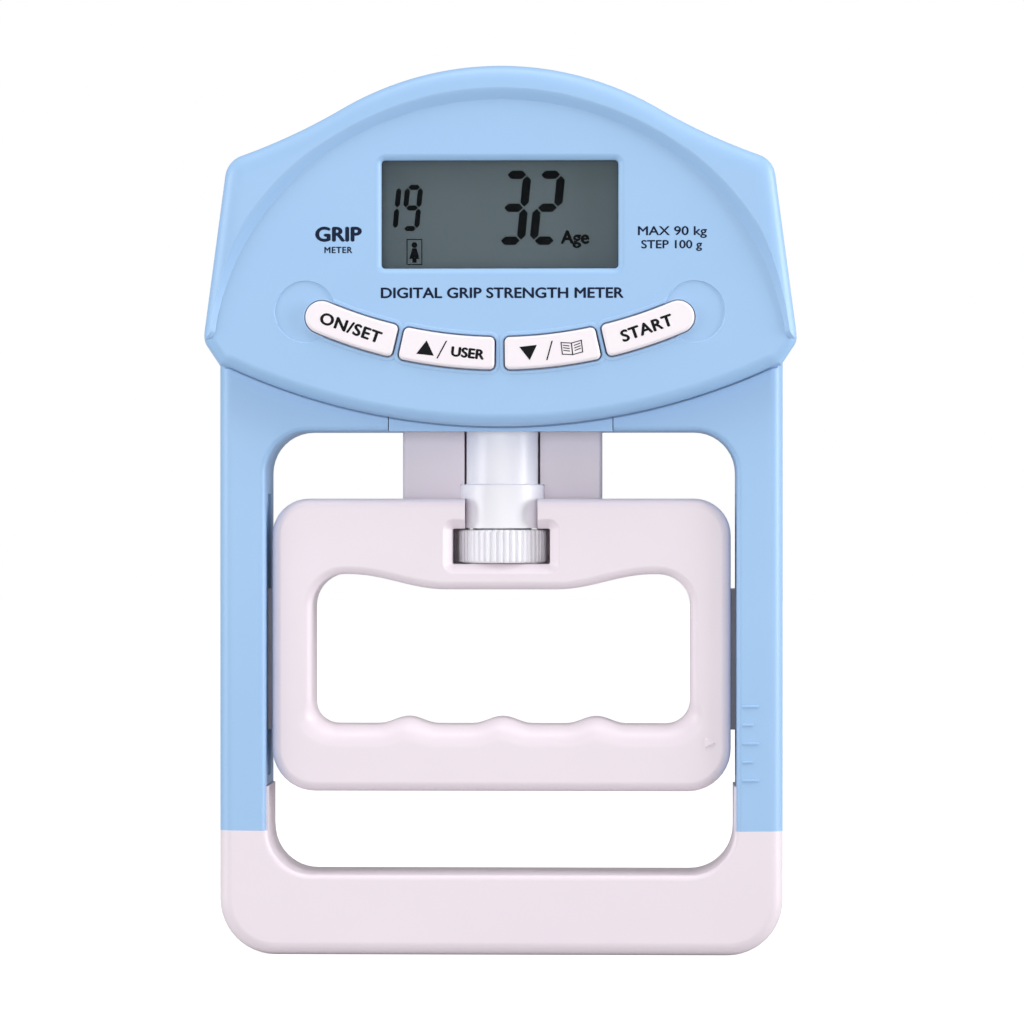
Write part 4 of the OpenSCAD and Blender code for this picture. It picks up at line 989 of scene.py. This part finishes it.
def keyWord(name, i, words, size, dx, dz=0, bold=0.15, spacing=1.0):
    p = turnedPoint(i, dx, dz)
    return lettering(name, words, size, p.x, p.y, keyInkY, keyBodies[i], inkBlack,
                     tilt=-keyMiddle(i)[2], bold=bold, spacing=spacing, width=1.08)


def keyPatch(name, i, points):
    return patch(name, [turnedPoint(i, *p) for p in points], keyInkY + 0.01, keyBodies[i], inkBlack)


keyWord("setLabel", 0, "ON/SET", 3.5, 0.1, spacing=1.08)
keyWord("startLabel", 3, "START", 3.5, -0.6, spacing=1.06)
keyPatch("upArrow", 1, [(-6.6, -1.5), (-2.8, -1.5), (-4.7, 1.6)])
keyPatch("upSlash", 1, [(-2.2, -2.0), (-1.9, -2.0), (-0.3, 2.0), (-0.6, 2.0)])
keyWord("userLabel", 1, "USER", 2.9, 4.3, -0.2)
keyPatch("downArrow", 2, [(-4.9, -1.6), (-3.0, 1.5), (-6.8, 1.5)])
keyPatch("downSlash", 2, [(-1.4, -2.0), (-1.1, -2.0), (0.5, 2.0), (0.2, 2.0)])


def bookLines():
    # an open book: two leaning pages with three lines on each
    for side in (-1, 1):
        cx = 4.4
        inner, outer = cx + side * 0.12, cx + side * 2.3
        for k, (z0, z1) in enumerate([(-1.35, -1.15), (1.15, 1.35), (-0.55, -0.35), (0.0, 0.2), (0.55, 0.75)]):
            near, far = (inner, outer) if k < 2 else (cx + side * 0.5, cx + side * 1.9)
            corners = [(near, z0 - 0.2), (far, z0 + 0.15), (far, z1 + 0.15), (near, z1 - 0.2)]
            keyPatch(f"book{'Left' if side < 0 else 'Right'}{k + 1}", 2, corners if side > 0 else corners[::-1])
        edge = sorted([outer, outer - side * 0.22])
        keyPatch(f"book{'Left' if side < 0 else 'Right'}Edge", 2, [(edge[0], -1.2), (edge[1], -1.2), (edge[1], 1.5), (edge[0], 1.5)])
    keyPatch("bookSpine", 2, [(4.28, -1.6), (4.52, -1.6), (4.52, 1.15), (4.28, 1.15)])


bookLines()
print("labels made")

# ---- display ----

lcdY = boxOf("lcd_panel")[0].y
digits = {"3": "abcdg", "2": "abged", "1": "bc", "9": "abcdfg"}


def segmentBars(w, h, t):
    # hexagonal bars of a seven-segment figure, around its centre
    gap, c = t * 0.12, t / 2
    across = lambda z: [(-w / 2 + c + gap, z), (-w / 2 + t + gap, z + c), (w / 2 - t - gap, z + c), (w / 2 - c - gap, z),
                        (w / 2 - t - gap, z - c), (-w / 2 + t + gap, z - c)]
    upright = lambda x, z0, z1: [(x, z0 + gap), (x + c, z0 + c + gap), (x + c, z1 - c - gap), (x, z1 - gap),
                                 (x - c, z1 - c - gap), (x - c, z0 + c + gap)]
    left, right, top = -w / 2 + c, w / 2 - c, h / 2 - c
    return {"a": across(top), "g": across(0), "d": across(-top), "f": upright(left, 0, top), "b": upright(right, 0, top),
            "e": upright(left, -top, 0), "c": upright(right, -top, 0)}


def figure(name, value, x, z, w, h, t, lean=0.1):
    parts = []
    for key in digits[value]:
        points = [Vector((x + px + lean * pz, z + pz)) for px, pz in segmentBars(w, h, t)[key]]
        if sum(p.cross(points[(i + 1) % len(points)]) for i, p in enumerate(points)) < 0:
            points.reverse()
        parts.append(plate(name + key, points, lcdY - 0.05, lcdY - 0.01))
    makeActive(parts[0])
    for p in parts:
        p.select_set(True)
    bpy.ops.object.join()
    obj = bpy.context.object
    obj.name = name
    return settle(obj, "frame", "black_epoxy", liquidCrystal)


figure("figureThree", "3", 2.9, viewZ0 + 13.2, 6.3, 16.0, 1.8)
figure("figureTwo", "2", 10.2, viewZ0 + 13.2, 6.3, 16.0, 1.8)
figure("figureOne", "1", -23.3, viewZ0 + 13.2, 3.2, 10.0, 1.1)
figure("figureNine", "9", -19.0, viewZ0 + 13.2, 3.9, 10.0, 1.1)
lettering("ageWord", "Age", 4.0, 16.2, viewZ0 + 6.7, lcdY - 0.03, "frame", liquidCrystal, bold=0.16, width=0.95)


def makeUserMark():
    # a small figure in a frame
    x, z, w, h, t = -18.5, viewZ0 + 3.7, 3.4, 5.6, 0.2
    for k, (x0, x1, z0, z1) in enumerate([
            (x - w / 2, x + w / 2, z - h / 2, z - h / 2 + t), (x - w / 2, x + w / 2, z + h / 2 - t, z + h / 2),
            (x - w / 2, x - w / 2 + t, z - h / 2, z + h / 2), (x + w / 2 - t, x + w / 2, z - h / 2, z + h / 2)]):
        patch(f"userFrame{k + 1}", [(x0, z0), (x1, z0), (x1, z1), (x0, z1)], lcdY - 0.01, "frame", liquidCrystal)
    patch("userHead", arc(x, z + 1.5, 0.62, 0, 345, 23), lcdY - 0.01, "frame", liquidCrystal)
    patch("userBody", [(x - 1.1, z - 1.5), (x + 1.1, z - 1.5), (x + 0.45, z + 0.8), (x - 0.45, z + 0.8)], lcdY - 0.01, "frame", liquidCrystal)
    patch("userLegs", [(x - 0.45, z - 2.3), (x + 0.45, z - 2.3), (x + 0.45, z - 1.4), (x - 0.45, z - 1.4)], lcdY - 0.01, "frame", liquidCrystal)


makeUserMark()
print("display made")

# ---- materials of the pieces that stay as they are ----

for part in frame["record"]["subparts"]:
    if part["node"] in frame["nodes"]:
        kept = frame["nodes"][part["node"]]
        kept.data.materials.clear()
        kept.data.materials.append(slotMaterials[part["material_slot"]])

# ---- floor, light and camera ----

stageLook = {"world": 0.38, "floorSeen": 0.9, "floorGlow": 0.1, "frontPower": 3.0, "rightPower": 5.4,
             "leftPower": 2.6, "topPower": 1.9, "cameraDistance": 1000, "cameraSide": 30,
             "aimX": 2.7, "aimZ": 96.0, "lens": 163.9}


def makeStage():
    bpy.ops.object.select_all(action="DESELECT")
    bpy.ops.mesh.primitive_plane_add(size=8, location=(0, 0, 0))
    floor = bpy.context.object
    floor.name = "studioFloor"
    material, tree = startMaterial("whitePaperFloor")
    shader = addNode(tree, "ShaderNodeBsdfPrincipled", {"Base Color": linear("#B4B4B4"), "Roughness": 0.9})
    seen = addNode(tree, "ShaderNodeLightPath", {}).outputs["Is Camera Ray"]
    strength = addNode(tree, "ShaderNodeMapRange", {"To Min": stageLook["floorGlow"], "To Max": stageLook["floorSeen"]},
                       [("Value", seen)])
    glow = addNode(tree, "ShaderNodeEmission", {"Color": linear("#FFFFFF")}, [("Strength", strength.outputs["Result"])])
    both = addNode(tree, "ShaderNodeAddShader", {})
    tree.links.new(shader.outputs["BSDF"], both.inputs[0])
    tree.links.new(glow.outputs["Emission"], both.inputs[1])
    addNode(tree, "ShaderNodeOutputMaterial", {}, [("Surface", both.outputs["Shader"])])
    floor.data.materials.append(material)


def areaLight(name, x, y, z, w, h, power, aim=(0, 0, 100)):
    bpy.ops.object.light_add(type="AREA", location=Vector((x, y, z)) * mm)
    lamp = bpy.context.object
    lamp.name = name
    lamp.data.shape = "RECTANGLE"
    lamp.data.size, lamp.data.size_y = w * mm, h * mm
    lamp.data.energy = power
    lamp.rotation_euler = (Vector(aim) - Vector((x, y, z))).to_track_quat("-Z", "Y").to_euler()
    return lamp


makeStage()
world = bpy.data.worlds.new("studio")
bpy.context.scene.world = world
world.use_nodes = True
air = world.node_tree
air.nodes.clear()
seen = addNode(air, "ShaderNodeLightPath", {}).outputs["Is Camera Ray"]
strength = addNode(air, "ShaderNodeMapRange", {"To Min": stageLook["world"], "To Max": 1.0}, [("Value", seen)])
sky = addNode(air, "ShaderNodeBackground", {"Color": linear("#FFFFFF")}, [("Strength", strength.outputs["Result"])])
addNode(air, "ShaderNodeOutputWorld", {}, [("Surface", sky.outputs["Background"])])
areaLight("softFront", -120, -900, 90, 900, 420, stageLook["frontPower"])
areaLight("softRight", 800, -190, 220, 240, 620, stageLook["rightPower"])
areaLight("softLeft", -720, -300, 200, 300, 560, stageLook["leftPower"])
areaLight("softTop", 0, -200, 720, 620, 260, stageLook["topPower"])

turn = math.atan(stageLook["cameraSide"] / stageLook["cameraDistance"])
place = Vector((stageLook["aimX"] + stageLook["cameraSide"], rimY - stageLook["cameraDistance"], stageLook["aimZ"]))
bpy.ops.object.camera_add(location=place * mm, rotation=(math.radians(90), 0, turn))
camera = bpy.context.object
camera.data.lens = stageLook["lens"]
camera.data.sensor_width = 36
bpy.context.scene.camera = camera
bpy.context.scene.view_settings.view_transform = "Standard"
print("stage made")
